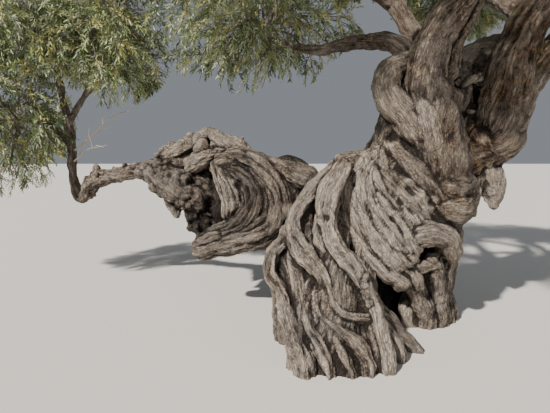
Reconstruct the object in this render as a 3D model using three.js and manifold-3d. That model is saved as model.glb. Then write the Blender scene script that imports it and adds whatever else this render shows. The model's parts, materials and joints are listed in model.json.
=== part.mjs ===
// An ancient olive tree: a fluted hollow-footed trunk, a stem that leans far over to the left
// and ends in a hooked limb, boughs and a full crown of silver-green foliage.
// Millimetres, +Z up. The origin lies on the flat cut at ground level, under the buttress.
// +X runs away from the leaning stem, +Y runs to the back of the tree.

import * as THREE from 'three';
import { mergeVertices } from 'three/addons/utils/BufferGeometryUtils.js';
import Module from 'manifold-3d';

const wasm = await Module();
wasm.setup();

// Driving dimensions
const CLEARANCE = 0.35; // between two pieces of wood that meet
const WOOD_SIDES = 6; // sides of a fold of the trunk
const WOOD_STEP = 300; // distance between a fold's rings
const BOUGH_SIDES = 6;
const BOUGH_STEP = 450;
const STEM_SIDES = 4;
const TWIG_SIDES = 3;
const TWIG_STEP = 900;
const WOOD_SMOOTHING = 0.05; // how far a face may be moved to save a sliver
const LEAF_SMOOTHING = 2;
const LEAN_START = -400; // X where the leaning stem leaves the trunk
const LEAN_FRONT = 100; // its Y there
const LEAN_AWAY = 0.58; // how far it runs back for each step to the left
const GROUND_REACH = 9000; // half the side of the block that the cut removes
const BELOW_GROUND = -90; // how deep the roots run before the cut
const DOME_HEIGHT = 0.75; // of a limb's rounded end, in parts of its radius
const DOME_RING = { height: 0.5, radius: 0.7 };

// Leaves are larger than life: each one stands for a spray
const LEAF_LENGTH = 640;
const LEAF_WIDTH = 250;
const LEAF_THICKNESS = 20;
const LEAF_TAPER = 1.15; // above 1, the leaf is widest before its middle
const LEAF_SPREAD = 0.95; // how far a leaf turns away from its twig
const LEAF_ROOT = 4; // how deep it is sunk in its twig
const LEAF_TRIES = 30; // ways that a leaf is turned before it is skipped
const LEAF_ROOM = 140; // between the blades of two leaves
const TWIG_ROOM = 110; // between a leaf's blade and another twig
const TWIGS_IN_MASS = 5;
const TWIG_REACH = 0.52; // in parts of the mass's reach
const LEAVES_ON_TWIG = 5;
const LEAFLESS = 0.4; // part of a twig with no leaves, from its root
const TWIG_ARCH = 0.12; // how far a twig arches up, in parts of its length
const STEM_RADIUS = 34;
const STEM_REACH = 0.9; // how far it runs towards the middle of its mass
const TWIG_RADIUS = 20;
const TWIG_TIP_RADIUS = 9;
const SPACE_BETWEEN_MASSES = 0.05; // in parts of a mass's reach
const SPACE_TO_WOOD = 25;
const MASS_SEED = 7919;

const GOLDEN_ANGLE = Math.PI * (3 - Math.sqrt(5));
const degrees = (angle) => (angle * Math.PI) / 180;

// A seeded row of numbers from 0 to 1, the same on every run
function seededRandom(seed) {
  let state = seed;
  return () => {
    state = (state * 1664525 + 1013904223) % 4294967296;
    return state / 4294967296;
  };
}

// A station of a limb is [x, y, z, radius]. On the leaning stem, y is told from its slanting line.
const lean = (x, off, z, radius) => [x, LEAN_FRONT + LEAN_AWAY * (LEAN_START - x) + off, z, radius];

const mix = (a, b, share) => a.map((value, i) => value + (b[i] - value) * share);

// Folds spread evenly from a first one to a last one, the middle ones proud of them by bow
function sheaf(first, last, count, bow = 0) {
  const folds = [];
  for (let i = 0; i < count; i += 1) {
    const share = i / (count - 1);
    const proud = [0, -bow * Math.sin(Math.PI * share), 0, 0];
    folds.push(first.map((station, k) => mix(station, last[k], share).map((value, j) => value + proud[j])));
  }
  return folds;
}

// A closed three.js geometry as a solid that can be joined and cut
function toSolid(geometry) {
  geometry.deleteAttribute('normal');
  geometry.deleteAttribute('uv');
  const merged = mergeVertices(geometry, 1e-3);
  const corners = merged.index.array;
  const faces = [];
  for (let i = 0; i < corners.length; i += 3) {
    const [a, b, c] = corners.slice(i, i + 3);
    if (a !== b && b !== c && c !== a) faces.push(a, b, c);
  }
  return new wasm.Manifold(
    new wasm.Mesh({
      numProp: 3,
      vertProperties: new Float32Array(merged.attributes.position.array),
      triVerts: new Uint32Array(faces),
    }),
  );
}

// The rings of a limb: centre, radius and two side directions, carried along without twist
function limbRings(stations, step) {
  const points = stations.map(([x, y, z]) => new THREE.Vector3(x, y, z));
  const curve = new THREE.CatmullRomCurve3(points, false, 'centripetal');
  const last = stations.length - 1;
  const rings = [];
  for (let i = 0; i < last; i += 1) {
    const parts = Math.max(1, Math.round(points[i].distanceTo(points[i + 1]) / step));
    for (let k = 0; k < parts; k += 1) {
      const share = k / parts;
      const at = (i + share) / last;
      const radius = stations[i][3] + (stations[i + 1][3] - stations[i][3]) * share;
      rings.push({ centre: curve.getPoint(at), along: curve.getTangent(at), radius });
    }
  }
  rings.push({ centre: curve.getPoint(1), along: curve.getTangent(1), radius: stations[last][3] });
  const helper = Math.abs(rings[0].along.z) < 0.8 ? new THREE.Vector3(0, 0, 1) : new THREE.Vector3(1, 0, 0);
  let side = helper;
  for (const ring of rings) {
    side = side.clone().addScaledVector(ring.along, -side.dot(ring.along)).normalize();
    ring.side = side;
    ring.other = ring.along.clone().cross(side);
  }
  return rings;
}

// A limb as a lathed spindle that is bent along its rings, with rounded or flat ends
function limb(stations, { sides = WOOD_SIDES, step = WOOD_STEP, grow = 0, rounded = true } = {}) {
  const rings = limbRings(stations, step);
  const dome = (ring, way, reach, share) => ({
    ...ring,
    centre: ring.centre.clone().addScaledVector(ring.along, way * reach * ring.radius),
    radius: ring.radius * share,
  });
  const first = rings[0];
  const last = rings[rings.length - 1];
  const all = rounded
    ? [
        dome(first, -1, DOME_HEIGHT, 0),
        dome(first, -1, DOME_RING.height, DOME_RING.radius),
        ...rings,
        dome(last, 1, DOME_RING.height, DOME_RING.radius),
        dome(last, 1, DOME_HEIGHT, 0),
      ]
    : [dome(first, 0, 0, 0), ...rings, dome(last, 0, 0, 0)];
  const profile = all.map((ring, i) => new THREE.Vector2(ring.radius === 0 ? 0 : ring.radius + grow, i));
  const geometry = new THREE.LatheGeometry(profile, sides);
  const position = geometry.attributes.position;
  for (let i = 0; i < position.count; i += 1) {
    const ring = all[Math.round(position.getY(i))];
    const place = ring.centre
      .clone()
      .addScaledVector(ring.side, position.getZ(i))
      .addScaledVector(ring.other, position.getX(i));
    position.setXYZ(i, place.x, place.y, place.z);
  }
  return toSolid(geometry);
}

// One body with no loose scraps and no sealed hollows
function wholeBody(solid) {
  const bodies = solid.decompose();
  return bodies.reduce((best, body) => (body.volume() > best.volume() ? body : best));
}

const join = (solids) => wasm.Manifold.union(solids);

function groundBlock() {
  const block = new THREE.BoxGeometry(2 * GROUND_REACH, 2 * GROUND_REACH, GROUND_REACH);
  block.translate(0, 0, -GROUND_REACH / 2);
  return toSolid(block);
}

// Trunk: the heart, and the folds that wrap it from the fork down to the feet
const HEART = [
  [-60, 380, 700, 290],
  [200, 430, 1100, 360],
  [420, 450, 1500, 380],
  [580, 430, 1950, 330],
  [650, 370, 2320, 220],
];

function frontFolds() {
  const twist = [
    [560, 170, 2260, 180],
    [660, 180, 2000, 220],
    [750, 200, 1750, 240],
    [790, 200, 1500, 230],
    [800, 180, 1280, 200],
    [760, 150, 1080, 160],
  ];
  const elbow = [
    [430, 300, 2500, 90],
    [250, 260, 2370, 125],
    [205, 200, 2210, 130],
    [300, 110, 2060, 130],
    [560, 90, 1770, 150],
    [680, 120, 1380, 140],
  ];
  const upperDrape = [
    [310, 220, 1960, 125],
    [370, 160, 1750, 140],
    [490, 130, 1550, 145],
    [610, 130, 1340, 140],
    [700, 160, 1150, 125],
  ];
  const lowerDrape = [
    [-110, 220, 1250, 95],
    [-90, 100, 1080, 110],
    [40, 30, 850, 120],
    [220, 50, 650, 120],
    [340, 80, 570, 100],
  ];
  const leftEdge = [
    [340, 270, 2110, 130],
    [190, 270, 1860, 150],
    [100, 260, 1640, 150],
    [-30, 260, 1440, 130],
    [-110, 230, 1240, 100],
  ];
  const mantle = [
    [210, 330, 1640, 200],
    [230, 230, 1300, 250],
    [360, 210, 960, 230],
  ];
  const lobe = [
    [330, 120, 960, 120],
    [550, 50, 980, 95],
    [730, 60, 930, 90],
    [840, 160, 720, 70],
  ];
  const nicheWall = [
    [400, 120, 880, 130],
    [520, 110, 700, 100],
    [760, 150, 720, 60],
  ];
  return [twist, elbow, leftEdge, mantle, lobe, nicheWall, ...sheaf(upperDrape, lowerDrape, 4)];
}

function rightLegFolds() {
  const inner = [
    [380, 120, 640, 105],
    [520, 160, 480, 105],
    [600, 280, 240, 105],
    [680, 390, BELOW_GROUND, 125],
  ];
  const outer = [
    [820, 360, 1020, 150],
    [850, 430, 640, 130],
    [880, 500, 300, 110],
    [930, 540, BELOW_GROUND, 130],
  ];
  const rear = [
    [720, 600, 1050, 200],
    [740, 680, 540, 160],
    [800, 760, BELOW_GROUND, 190],
  ];
  return [...sheaf(inner, outer, 3), rear];
}

function rightShoulderFolds() {
  const neck = [
    [960, 450, 1080, 190],
    [1010, 540, 1550, 240],
    [1030, 600, 2080, 190],
    [1010, 620, 2360, 130],
  ];
  const hangingBulge = [
    [850, 420, 1500, 200],
    [1120, 430, 1660, 185],
    [1320, 400, 1790, 230],
    [1350, 400, 2060, 235],
  ];
  const paleStub = [
    [1190, 450, 1640, 150],
    [1260, 440, 1440, 150],
    [1320, 430, 1290, 110],
    [1330, 420, 1150, 45],
  ];
  return [neck, hangingBulge, paleStub];
}

// Buttress: it stands forward of the trunk and leans back as it rises
function buttressFolds() {
  const filling = [
    [-90, 330, 1330, 190],
    [-280, 130, 1000, 220],
    [-330, -60, 700, 240],
    [-310, -280, 350, 240],
    [-270, -360, BELOW_GROUND, 290],
  ];
  const footing = [
    [-80, 250, 820, 250],
    [-60, 120, 400, 230],
    [-30, 30, BELOW_GROUND, 250],
  ];
  const sweepingRidge = [
    [-190, 90, 1620, 70],
    [-390, 10, 1450, 85],
    [-550, -80, 1270, 85],
    [-570, -170, 1060, 95],
    [-470, -290, 820, 105],
    [-280, -370, 610, 100],
  ];
  const arm = [
    [-250, 0, 1450, 95],
    [-350, -90, 1230, 110],
    [-320, -180, 1040, 80],
    [-170, -300, 780, 90],
    [-20, -440, 450, 75],
    [90, -580, BELOW_GROUND, 65],
  ];
  const leftFoot = [
    [-690, -270, 850, 85],
    [-620, -350, 660, 90],
    [-520, -480, 360, 85],
    [-430, -640, BELOW_GROUND, 90],
  ];
  const middleFoot = [
    [-480, -300, 790, 100],
    [-400, -410, 540, 95],
    [-180, -500, 330, 90],
    [0, -640, BELOW_GROUND, 75],
  ];
  const outerRoot = [
    [-760, -250, 890, 55],
    [-820, -320, 730, 55],
    [-660, -450, 440, 70],
    [-570, -600, BELOW_GROUND, 80],
  ];
  const rightRidge = [
    [-80, -340, 640, 90],
    [60, -330, 440, 90],
    [230, -280, 230, 80],
    [420, -230, BELOW_GROUND, 80],
  ];
  const bridge = [
    [-210, 90, 1600, 65],
    [-60, 230, 1600, 80],
    [110, 380, 1640, 120],
  ];
  return [
    filling,
    footing,
    bridge,
    sweepingRidge,
    arm,
    ...sheaf(leftFoot, middleFoot, 3),
    outerRoot,
    rightRidge,
  ];
}

function leftLegFolds() {
  const outer = [
    [-600, 120, 960, 120],
    [-700, 120, 650, 110],
    [-670, 60, 320, 105],
    [-640, 30, BELOW_GROUND, 140],
  ];
  const rear = [
    [-420, 430, 1000, 190],
    [-540, 460, 600, 150],
    [-560, 500, 250, 140],
    [-580, 560, BELOW_GROUND, 180],
  ];
  return sheaf(outer, rear, 2);
}

// Back of the trunk: folds stand round its axis and spread at the foot,
// but for the gap behind the arch that runs through between buttress and right leg
const BACK_FIRST_ANGLE = 5;
const BACK_LAST_ANGLE = 200;
const BACK_FOLDS = 7;
const BACK_TWIST = 28;
const ARCH_ANGLE = 30;
const ARCH_HALF_WIDTH = 26;
const BACK_LEVELS = [
  { z: 2200, x: 640, y: 400, out: 230, radius: 100 },
  { z: 1700, x: 490, y: 430, out: 330, radius: 150 },
  { z: 1150, x: 260, y: 440, out: 390, radius: 175 },
  { z: 500, x: 120, y: 390, out: 470, radius: 165 },
  { z: BELOW_GROUND, x: 120, y: 380, out: 640, radius: 190 },
];

function backFolds() {
  const folds = [];
  for (let i = 0; i < BACK_FOLDS; i += 1) {
    const angle = BACK_FIRST_ANGLE + ((BACK_LAST_ANGLE - BACK_FIRST_ANGLE) * i) / (BACK_FOLDS - 1);
    const overArch = Math.abs(angle - ARCH_ANGLE) < ARCH_HALF_WIDTH;
    const levels = overArch ? BACK_LEVELS.slice(0, -2) : BACK_LEVELS;
    folds.push(
      levels.map((level, k) => {
        const turned = degrees(angle - (BACK_TWIST * (BACK_LEVELS.length - k)) / BACK_LEVELS.length);
        const x = level.x + level.out * Math.cos(turned);
        const y = level.y + level.out * Math.sin(turned);
        return [x, y, level.z, level.radius];
      }),
    );
  }
  return folds;
}

// Leaning stem: a filled heart, a swirl of folds round a hollow, a burl and a pointed summit
const SWIRL_FOLDS = 4;
const SWIRL_PROUD = 90;

function swirlFolds() {
  const roundHollow = [
    lean(-1500, 20, 1440, 75),
    lean(-1290, -20, 1400, 75),
    lean(-1130, -40, 1230, 75),
    lean(-1170, -60, 1050, 75),
    lean(-1350, -40, 950, 70),
    lean(-1570, -10, 880, 70),
  ];
  const outside = [
    lean(-1330, 20, 1660, 85),
    lean(-880, 20, 1590, 95),
    lean(-600, 20, 1300, 95),
    lean(-700, 0, 900, 90),
    lean(-1120, -40, 810, 90),
    lean(-1540, -50, 645, 110),
  ];
  return sheaf(roundHollow, outside, SWIRL_FOLDS, SWIRL_PROUD);
}

function leaningFolds() {
  const heart = [
    lean(-330, 260, 1100, 250),
    lean(-800, 330, 1180, 330),
    lean(-1250, 360, 1200, 340),
    lean(-1700, 220, 1330, 290),
    lean(-2050, 90, 1460, 170),
  ];
  const topRidge = [
    lean(-450, 120, 1430, 130),
    lean(-800, 40, 1540, 95),
    lean(-1100, 30, 1600, 95),
    lean(-1340, 20, 1540, 85),
  ];
  const summitHeart = [
    lean(-1100, 300, 1480, 170),
    lean(-1430, 260, 1660, 160),
    lean(-1800, 180, 1580, 150),
  ];
  const summit = [
    lean(-950, 160, 1480, 160),
    lean(-1180, 170, 1680, 150),
    lean(-1420, 170, 1880, 70),
  ];
  const summitSlope = [
    lean(-1420, 170, 1870, 75),
    lean(-1680, 160, 1760, 120),
    lean(-2000, 90, 1620, 120),
  ];
  const burl = [
    lean(-1560, 0, 1130, 190),
    lean(-1780, -20, 1280, 240),
    lean(-2000, 0, 1400, 210),
    lean(-2170, 40, 1500, 130),
  ];
  const spongyWood = [
    lean(-1420, 100, 760, 130),
    lean(-1560, 80, 980, 150),
    lean(-1640, 100, 1180, 170),
  ];
  const backRidge = [
    [-290, 350, 1160, 150],
    [-430, 420, 1360, 120],
    [-580, 480, 1520, 105],
    [-800, 600, 1530, 115],
    [-1150, 800, 1480, 170],
  ];
  return [heart, topRidge, summitHeart, summit, summitSlope, burl, spongyWood, backRidge, ...swirlFolds()];
}

// Left limb: it runs out level from the burl and hooks down, with a short stub on top
function leftLimbFolds() {
  const level = [
    lean(-2060, 40, 1500, 120),
    lean(-2300, 0, 1490, 105),
    lean(-2600, 0, 1440, 100),
    lean(-2860, 0, 1390, 115),
    lean(-3020, 0, 1310, 120),
    lean(-3120, 0, 1170, 85),
  ];
  const stub = [
    lean(-2920, 0, 1400, 65),
    lean(-2950, 0, 1520, 45),
  ];
  return [level, stub];
}

// Boughs, each one tapering limb or two grown together
const BOUGHS = {
  left_bough: {
    on: 'trunk',
    folds: [
      [
        [560, 190, 2300, 190],
        [610, 210, 2600, 175],
        [740, 240, 2820, 165],
        [900, 280, 3080, 150],
        [980, 330, 3450, 130],
        [860, 350, 3950, 100],
        [640, 320, 4550, 60],
      ],
      [
        [760, 240, 2380, 100],
        [820, 270, 2660, 95],
        [940, 300, 2900, 105],
        [1040, 330, 3160, 90],
      ],
    ],
  },
  right_bough: {
    on: 'trunk',
    folds: [
      [
        [1350, 400, 1920, 235],
        [1370, 400, 2150, 245],
        [1410, 420, 2420, 225],
        [1530, 450, 2760, 190],
        [1720, 480, 3080, 175],
        [1880, 520, 3450, 145],
        [1960, 540, 4000, 90],
      ],
    ],
  },
  right_side_bough: {
    on: 'right_bough',
    folds: [
      [
        [1450, 410, 1960, 110],
        [1540, 420, 2200, 140],
        [1690, 430, 2460, 140],
        [1850, 450, 2660, 125],
        [2100, 440, 2960, 90],
        [2230, 400, 3250, 60],
      ],
    ],
  },
  right_front_bough: {
    on: 'right_bough',
    folds: [
      [
        [1580, 420, 2820, 90],
        [1660, 120, 3120, 95],
        [1750, -350, 3450, 80],
        [1850, -800, 3750, 55],
      ],
    ],
  },
  right_back_bough: {
    on: 'right_bough',
    folds: [
      [
        [1600, 560, 2960, 90],
        [1620, 950, 3200, 95],
        [1600, 1450, 3480, 60],
      ],
    ],
  },
  dead_limb: {
    on: 'trunk',
    folds: [
      [
        [960, 640, 2300, 120],
        [1080, 720, 2560, 125],
        [1280, 800, 2700, 100],
        [1540, 860, 2820, 80],
      ],
    ],
  },
  back_left_bough: {
    on: 'trunk',
    folds: [
      [
        [640, 430, 2340, 120],
        [520, 540, 2600, 110],
        [380, 640, 2730, 95],
        [100, 790, 2790, 80],
        [-300, 920, 2740, 60],
        [-560, 1050, 2790, 48],
      ],
    ],
  },
  back_bough: {
    on: 'trunk',
    folds: [
      [
        [820, 560, 2240, 150],
        [760, 760, 2620, 130],
        [560, 1050, 3150, 105],
        [350, 1350, 3600, 80],
        [200, 1600, 3950, 60],
      ],
    ],
  },
  far_left_bough: {
    on: 'back_bough',
    folds: [
      [
        [520, 1100, 3230, 80],
        [0, 1180, 3600, 80],
        [-700, 1300, 3900, 65],
        [-1300, 1400, 4050, 50],
      ],
    ],
  },
  front_bough: {
    on: 'left_bough',
    folds: [
      [
        [900, 280, 3060, 90],
        [760, -100, 3400, 95],
        [500, -650, 3800, 80],
        [300, -1150, 4050, 55],
      ],
    ],
  },
  front_left_bough: {
    on: 'left_bough',
    folds: [
      [
        [940, 320, 3280, 80],
        [520, 150, 3520, 85],
        [-150, -250, 3800, 70],
        [-900, -650, 3980, 50],
      ],
    ],
  },
  upper_left_bough: {
    on: 'left_bough',
    folds: [
      [
        [940, 340, 3650, 75],
        [500, 380, 4050, 75],
        [-100, 420, 4400, 60],
        [-450, 420, 4580, 50],
      ],
    ],
  },
  left_stem: {
    on: 'left_limb',
    folds: [
      [
        [-3110, 1670, 1190, 60],
        [-3230, 1740, 1120, 70],
        [-3310, 1750, 1300, 62],
        [-3320, 1750, 1800, 56],
        [-3380, 1720, 2350, 46],
        [-3420, 1680, 2700, 38],
      ],
    ],
  },
  left_hanging_stem: {
    on: 'left_stem',
    folds: [
      [
        [-3320, 1740, 1750, 40],
        [-3480, 1700, 1980, 38],
        [-3700, 1640, 2080, 30],
      ],
    ],
  },
  left_inner_stem: {
    on: 'left_stem',
    folds: [
      [
        [-3340, 1740, 2050, 40],
        [-3080, 1680, 2400, 38],
        [-2850, 1600, 2600, 30],
      ],
    ],
  },
};

// Masses of foliage: the bough that carries each one, its centre and its reach along X, Y and Z
const MASSES = {
  foliage_top: { on: 'left_bough', centre: [500, 350, 5300], reach: [1200, 1150, 900] },
  foliage_upper_left: { on: 'upper_left_bough', centre: [-1100, 400, 4850], reach: [1200, 1150, 850] },
  foliage_front: { on: 'front_bough', centre: [150, -1700, 4250], reach: [1150, 1050, 850] },
  foliage_front_left: { on: 'front_left_bough', centre: [-1650, -1000, 4100], reach: [1200, 1050, 850] },
  foliage_back_left: { on: 'back_left_bough', centre: [-1000, 1250, 3150], reach: [1300, 950, 850] },
  foliage_back: { on: 'back_bough', centre: [50, 2050, 4400], reach: [1200, 1050, 950] },
  foliage_far_left: { on: 'far_left_bough', centre: [-2250, 1400, 4200], reach: [1250, 1100, 900] },
  foliage_right: { on: 'right_side_bough', centre: [2300, 350, 3750], reach: [850, 950, 850] },
  foliage_upper_right: { on: 'right_bough', centre: [1850, 600, 4800], reach: [1150, 1100, 950] },
  foliage_right_front: { on: 'right_front_bough', centre: [1850, -1300, 4050], reach: [1000, 1000, 850] },
  foliage_right_back: { on: 'right_back_bough', centre: [1550, 2000, 3800], reach: [1050, 1000, 850] },
  foliage_left_high: { on: 'left_stem', centre: [-3550, 1500, 3300], reach: [1150, 1050, 900] },
  foliage_left_low: { on: 'left_hanging_stem', centre: [-4050, 1600, 2050], reach: [900, 900, 950] },
  foliage_left_inner: { on: 'left_inner_stem', centre: [-2650, 1250, 2950], reach: [800, 900, 800] },
};

const WOOD_COLOURS = {
  trunk: 0x85796b,
  leaning_trunk: 0x8f867b,
  left_limb: 0x7f7364,
  dead_limb: 0xa99f8e,
  right_bough: 0x7a5f4c,
  right_side_bough: 0x7a5f4c,
};
const BOUGH_COLOUR = 0x6d6255;
const LEAF_COLOURS = [0x66724a, 0x5b6a45, 0x717c57];
const WOOD_ROUGHNESS = 0.9;
const LEAF_ROUGHNESS = 0.6;

// Points along the axes of the wood, each with the radius there
function limbAxes(folds) {
  return folds.flatMap((stations) =>
    limbRings(stations, WOOD_STEP / 2).map((ring) => [ring.centre, ring.radius]),
  );
}

// A leaf: eight faces from its root to its tip, widest a little before the middle
function leafSolid(root, along, flat) {
  const side = along.clone().cross(flat).normalize();
  const up = side.clone().cross(along).normalize();
  const leaf = new THREE.OctahedronGeometry(1);
  leaf.deleteAttribute('normal');
  leaf.deleteAttribute('uv');
  const position = leaf.attributes.position;
  for (let i = 0; i < position.count; i += 1) {
    const reach = (0.5 + position.getX(i) / 2) ** LEAF_TAPER;
    const place = root
      .clone()
      .addScaledVector(along, LEAF_LENGTH * reach)
      .addScaledVector(side, (LEAF_WIDTH / 2) * position.getZ(i))
      .addScaledVector(up, (LEAF_THICKNESS / 2) * position.getY(i));
    position.setXYZ(i, place.x, place.y, place.z);
  }
  return { solid: toSolid(leaf), side, up };
}

// How far out a point is in a mass's space: 0 at its centre, 1 at its reach
function outness(point, mass) {
  const [x, y, z] = [point.x, point.y, point.z].map((value, i) => (value - mass.centre[i]) / mass.reach[i]);
  return Math.hypot(x, y, z);
}

// Whether a point lies in a mass's own space: inside its reach and not in a neighbour's
function inSpace(point, name) {
  const own = outness(point, MASSES[name]);
  if (own > 1) return false;
  return Object.keys(MASSES).every(
    (other) => other === name || outness(point, MASSES[other]) > own + SPACE_BETWEEN_MASSES,
  );
}

// The twigs of a mass: they leave its stem by the golden angle and arch out to part of its reach
function twigCurves(mass, stemCurve, random, fits) {
  const centre = new THREE.Vector3(...mass.centre);
  const reach = new THREE.Vector3(...mass.reach);
  const twigs = [];
  for (let i = 0; i < TWIGS_IN_MASS; i += 1) {
    const height = 1 - (2 * (i + 0.5)) / TWIGS_IN_MASS;
    const turn = GOLDEN_ANGLE * i + random() * 0.6;
    const level = Math.sqrt(1 - height * height);
    const out = new THREE.Vector3(level * Math.cos(turn), level * Math.sin(turn), height);
    const root = stemCurve.getPoint(0.5 + 0.5 * random());
    const end = centre.clone().add(out.clone().multiply(reach).multiplyScalar(TWIG_REACH));
    const bend = root.clone().lerp(end, 0.55);
    bend.z += TWIG_ARCH * root.distanceTo(end);
    const curve = new THREE.CatmullRomCurve3([root, bend, end], false, 'centripetal');
    if ([0.35, 0.6, 0.8, 1].every((at) => fits(curve.getPoint(at)))) twigs.push({ out, curve });
  }
  return twigs;
}

const alongCurve = (curve, radii) =>
  radii.map((radius, i) => [...curve.getPoint(i / (radii.length - 1)).toArray(), radius]);

// Twigs and leaves that branch from one stem at the bough's tip
function foliage(name, boughAxis, woodAxes) {
  const mass = MASSES[name];
  const random = seededRandom(MASS_SEED + 31 * Object.keys(MASSES).indexOf(name));
  const clearOfWood = (point) =>
    woodAxes.every(([axis, radius]) => point.distanceTo(axis) > radius + SPACE_TO_WOOD);
  const fits = (point) => inSpace(point, name) && clearOfWood(point);

  const tip = boughAxis[boughAxis.length - 1];
  const start = tip.centre.clone().addScaledVector(tip.along, 0.2 * tip.radius);
  const centre = new THREE.Vector3(...mass.centre);
  const stemBend = start.clone().lerp(centre, 0.45).addScaledVector(tip.along, 60);
  const stemCurve = new THREE.CatmullRomCurve3([start, stemBend, start.clone().lerp(centre, STEM_REACH)]);
  const stem = alongCurve(stemCurve, [STEM_RADIUS, 0.9 * STEM_RADIUS, TWIG_RADIUS]);
  const pieces = [limb(stem, { sides: STEM_SIDES, step: TWIG_STEP, rounded: false })];
  const twigs = twigCurves(mass, stemCurve, random, fits);
  for (const { curve } of twigs) {
    const twig = alongCurve(curve, [TWIG_RADIUS, 0.8 * TWIG_RADIUS, TWIG_TIP_RADIUS]);
    pieces.push(limb(twig, { sides: TWIG_SIDES, step: TWIG_STEP, rounded: false }));
  }

  const blades = [];
  twigs.forEach(({ out, curve }, own) => {
    const others = twigs.filter((twig, i) => i !== own).flatMap((twig) => twig.curve.getPoints(8));
    const clearOfTwigs = (point) => others.every((other) => point.distanceTo(other) > TWIG_ROOM);
    for (let k = 0; k < LEAVES_ON_TWIG; k += 1) {
      const foot = curve.getPoint(LEAFLESS + (0.96 - LEAFLESS) * ((k + 1) / LEAVES_ON_TWIG));
      for (let tries = 0; tries < LEAF_TRIES; tries += 1) {
        const roll = GOLDEN_ANGLE * (2 * k + tries) + random();
        const across = new THREE.Vector3(Math.cos(roll), Math.sin(roll), random() - 0.5);
        const way = out.clone().addScaledVector(across, LEAF_SPREAD).normalize();
        const face = new THREE.Vector3(random() - 0.5, random() - 0.5, 0.5 * random()).normalize();
        const leafRoot = foot.clone().addScaledVector(way, -LEAF_ROOT);
        const leaf = leafSolid(leafRoot, way, face);
        const onLeaf = (share, aside) =>
          leafRoot.clone().addScaledVector(way, share * LEAF_LENGTH).addScaledVector(leaf.side, aside);
        const blade = [0.2, 0.4, 0.6, 0.8].map((share) => onLeaf(share, 0));
        const widest = 0.5 ** LEAF_TAPER;
        const corners = [
          onLeaf(1, 0),
          onLeaf(widest, LEAF_WIDTH / 2),
          onLeaf(widest, -LEAF_WIDTH / 2),
        ];
        const apart = blades.every((other) => blade.every((point) => point.distanceTo(other) > LEAF_ROOM));
        if (apart && blade.every(clearOfTwigs) && [...blade, ...corners].every(fits)) {
          pieces.push(leaf.solid);
          blades.push(...blade);
          break;
        }
      }
    }
  });
  return join(pieces).simplify(LEAF_SMOOTHING);
}

// Put together: each solid is cut by the grown form of what it stands on, to keep the clearance
const folds = {
  trunk: [
    HEART,
    ...frontFolds(),
    ...rightLegFolds(),
    ...rightShoulderFolds(),
    ...buttressFolds(),
    ...leftLegFolds(),
    ...backFolds(),
  ],
  leaning_trunk: leaningFolds(),
  left_limb: leftLimbFolds(),
};
const carriers = { leaning_trunk: ['trunk'], left_limb: ['leaning_trunk'] };
for (const [name, bough] of Object.entries(BOUGHS)) {
  folds[name] = bough.folds;
  carriers[name] = Object.keys(folds).filter((other) => other !== name);
}

const woodShape = (name, grow) => {
  const shape = name in BOUGHS ? { sides: BOUGH_SIDES, step: BOUGH_STEP } : {};
  return join(folds[name].map((stations) => limb(stations, { ...shape, grow })));
};

const grown = {};
for (const name of Object.keys(folds)) grown[name] = woodShape(name, CLEARANCE);

const ground = groundBlock();
const solids = {};
for (const name of Object.keys(folds)) {
  let wood = woodShape(name, 0);
  for (const other of carriers[name] ?? []) wood = wood.subtract(grown[other]);
  if (name === 'trunk') wood = wood.subtract(ground);
  solids[name] = wholeBody(wood).simplify(WOOD_SMOOTHING);
}

const woodAxes = limbAxes(Object.values(folds).flat());
for (const name of Object.keys(MASSES)) {
  const carrier = MASSES[name].on;
  const axis = limbRings(folds[carrier][0], BOUGH_STEP);
  const mass = foliage(name, axis, woodAxes);
  solids[name] = wholeBody(mass.subtract(grown[carrier]));
}

// A solid as a named mesh with its own material
function toMesh(name, solid, colour, roughness) {
  const { numProp, vertProperties, triVerts } = solid.getMesh();
  const geometry = new THREE.BufferGeometry();
  geometry.setAttribute('position', new THREE.BufferAttribute(vertProperties, numProp));
  geometry.setIndex(new THREE.BufferAttribute(triVerts, 1));
  geometry.computeVertexNormals();
  const mesh = new THREE.Mesh(
    geometry,
    new THREE.MeshStandardMaterial({ color: colour, roughness, metalness: 0, flatShading: true }),
  );
  mesh.name = name;
  return mesh;
}

const tree = new THREE.Group();
Object.entries(solids).forEach(([name, solid], i) => {
  const isMass = name in MASSES;
  const colour = isMass ? LEAF_COLOURS[i % LEAF_COLOURS.length] : WOOD_COLOURS[name] ?? BOUGH_COLOUR;
  tree.add(toMesh(name, solid, colour, isMass ? LEAF_ROUGHNESS : WOOD_ROUGHNESS));
});

export default tree;
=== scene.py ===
# %% [markdown]
# # An ancient olive tree
# This lesson dresses an old olive tree: a fluted trunk on wide roots, one stem that leans far over,
# thick boughs and a crown of narrow grey-green leaves. The solids it starts from are plain. Here the
# wood gets its ropes, grooves and bark, and each mass of foliage grows real twigs and leaves.

# %% The frame
import math

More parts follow.
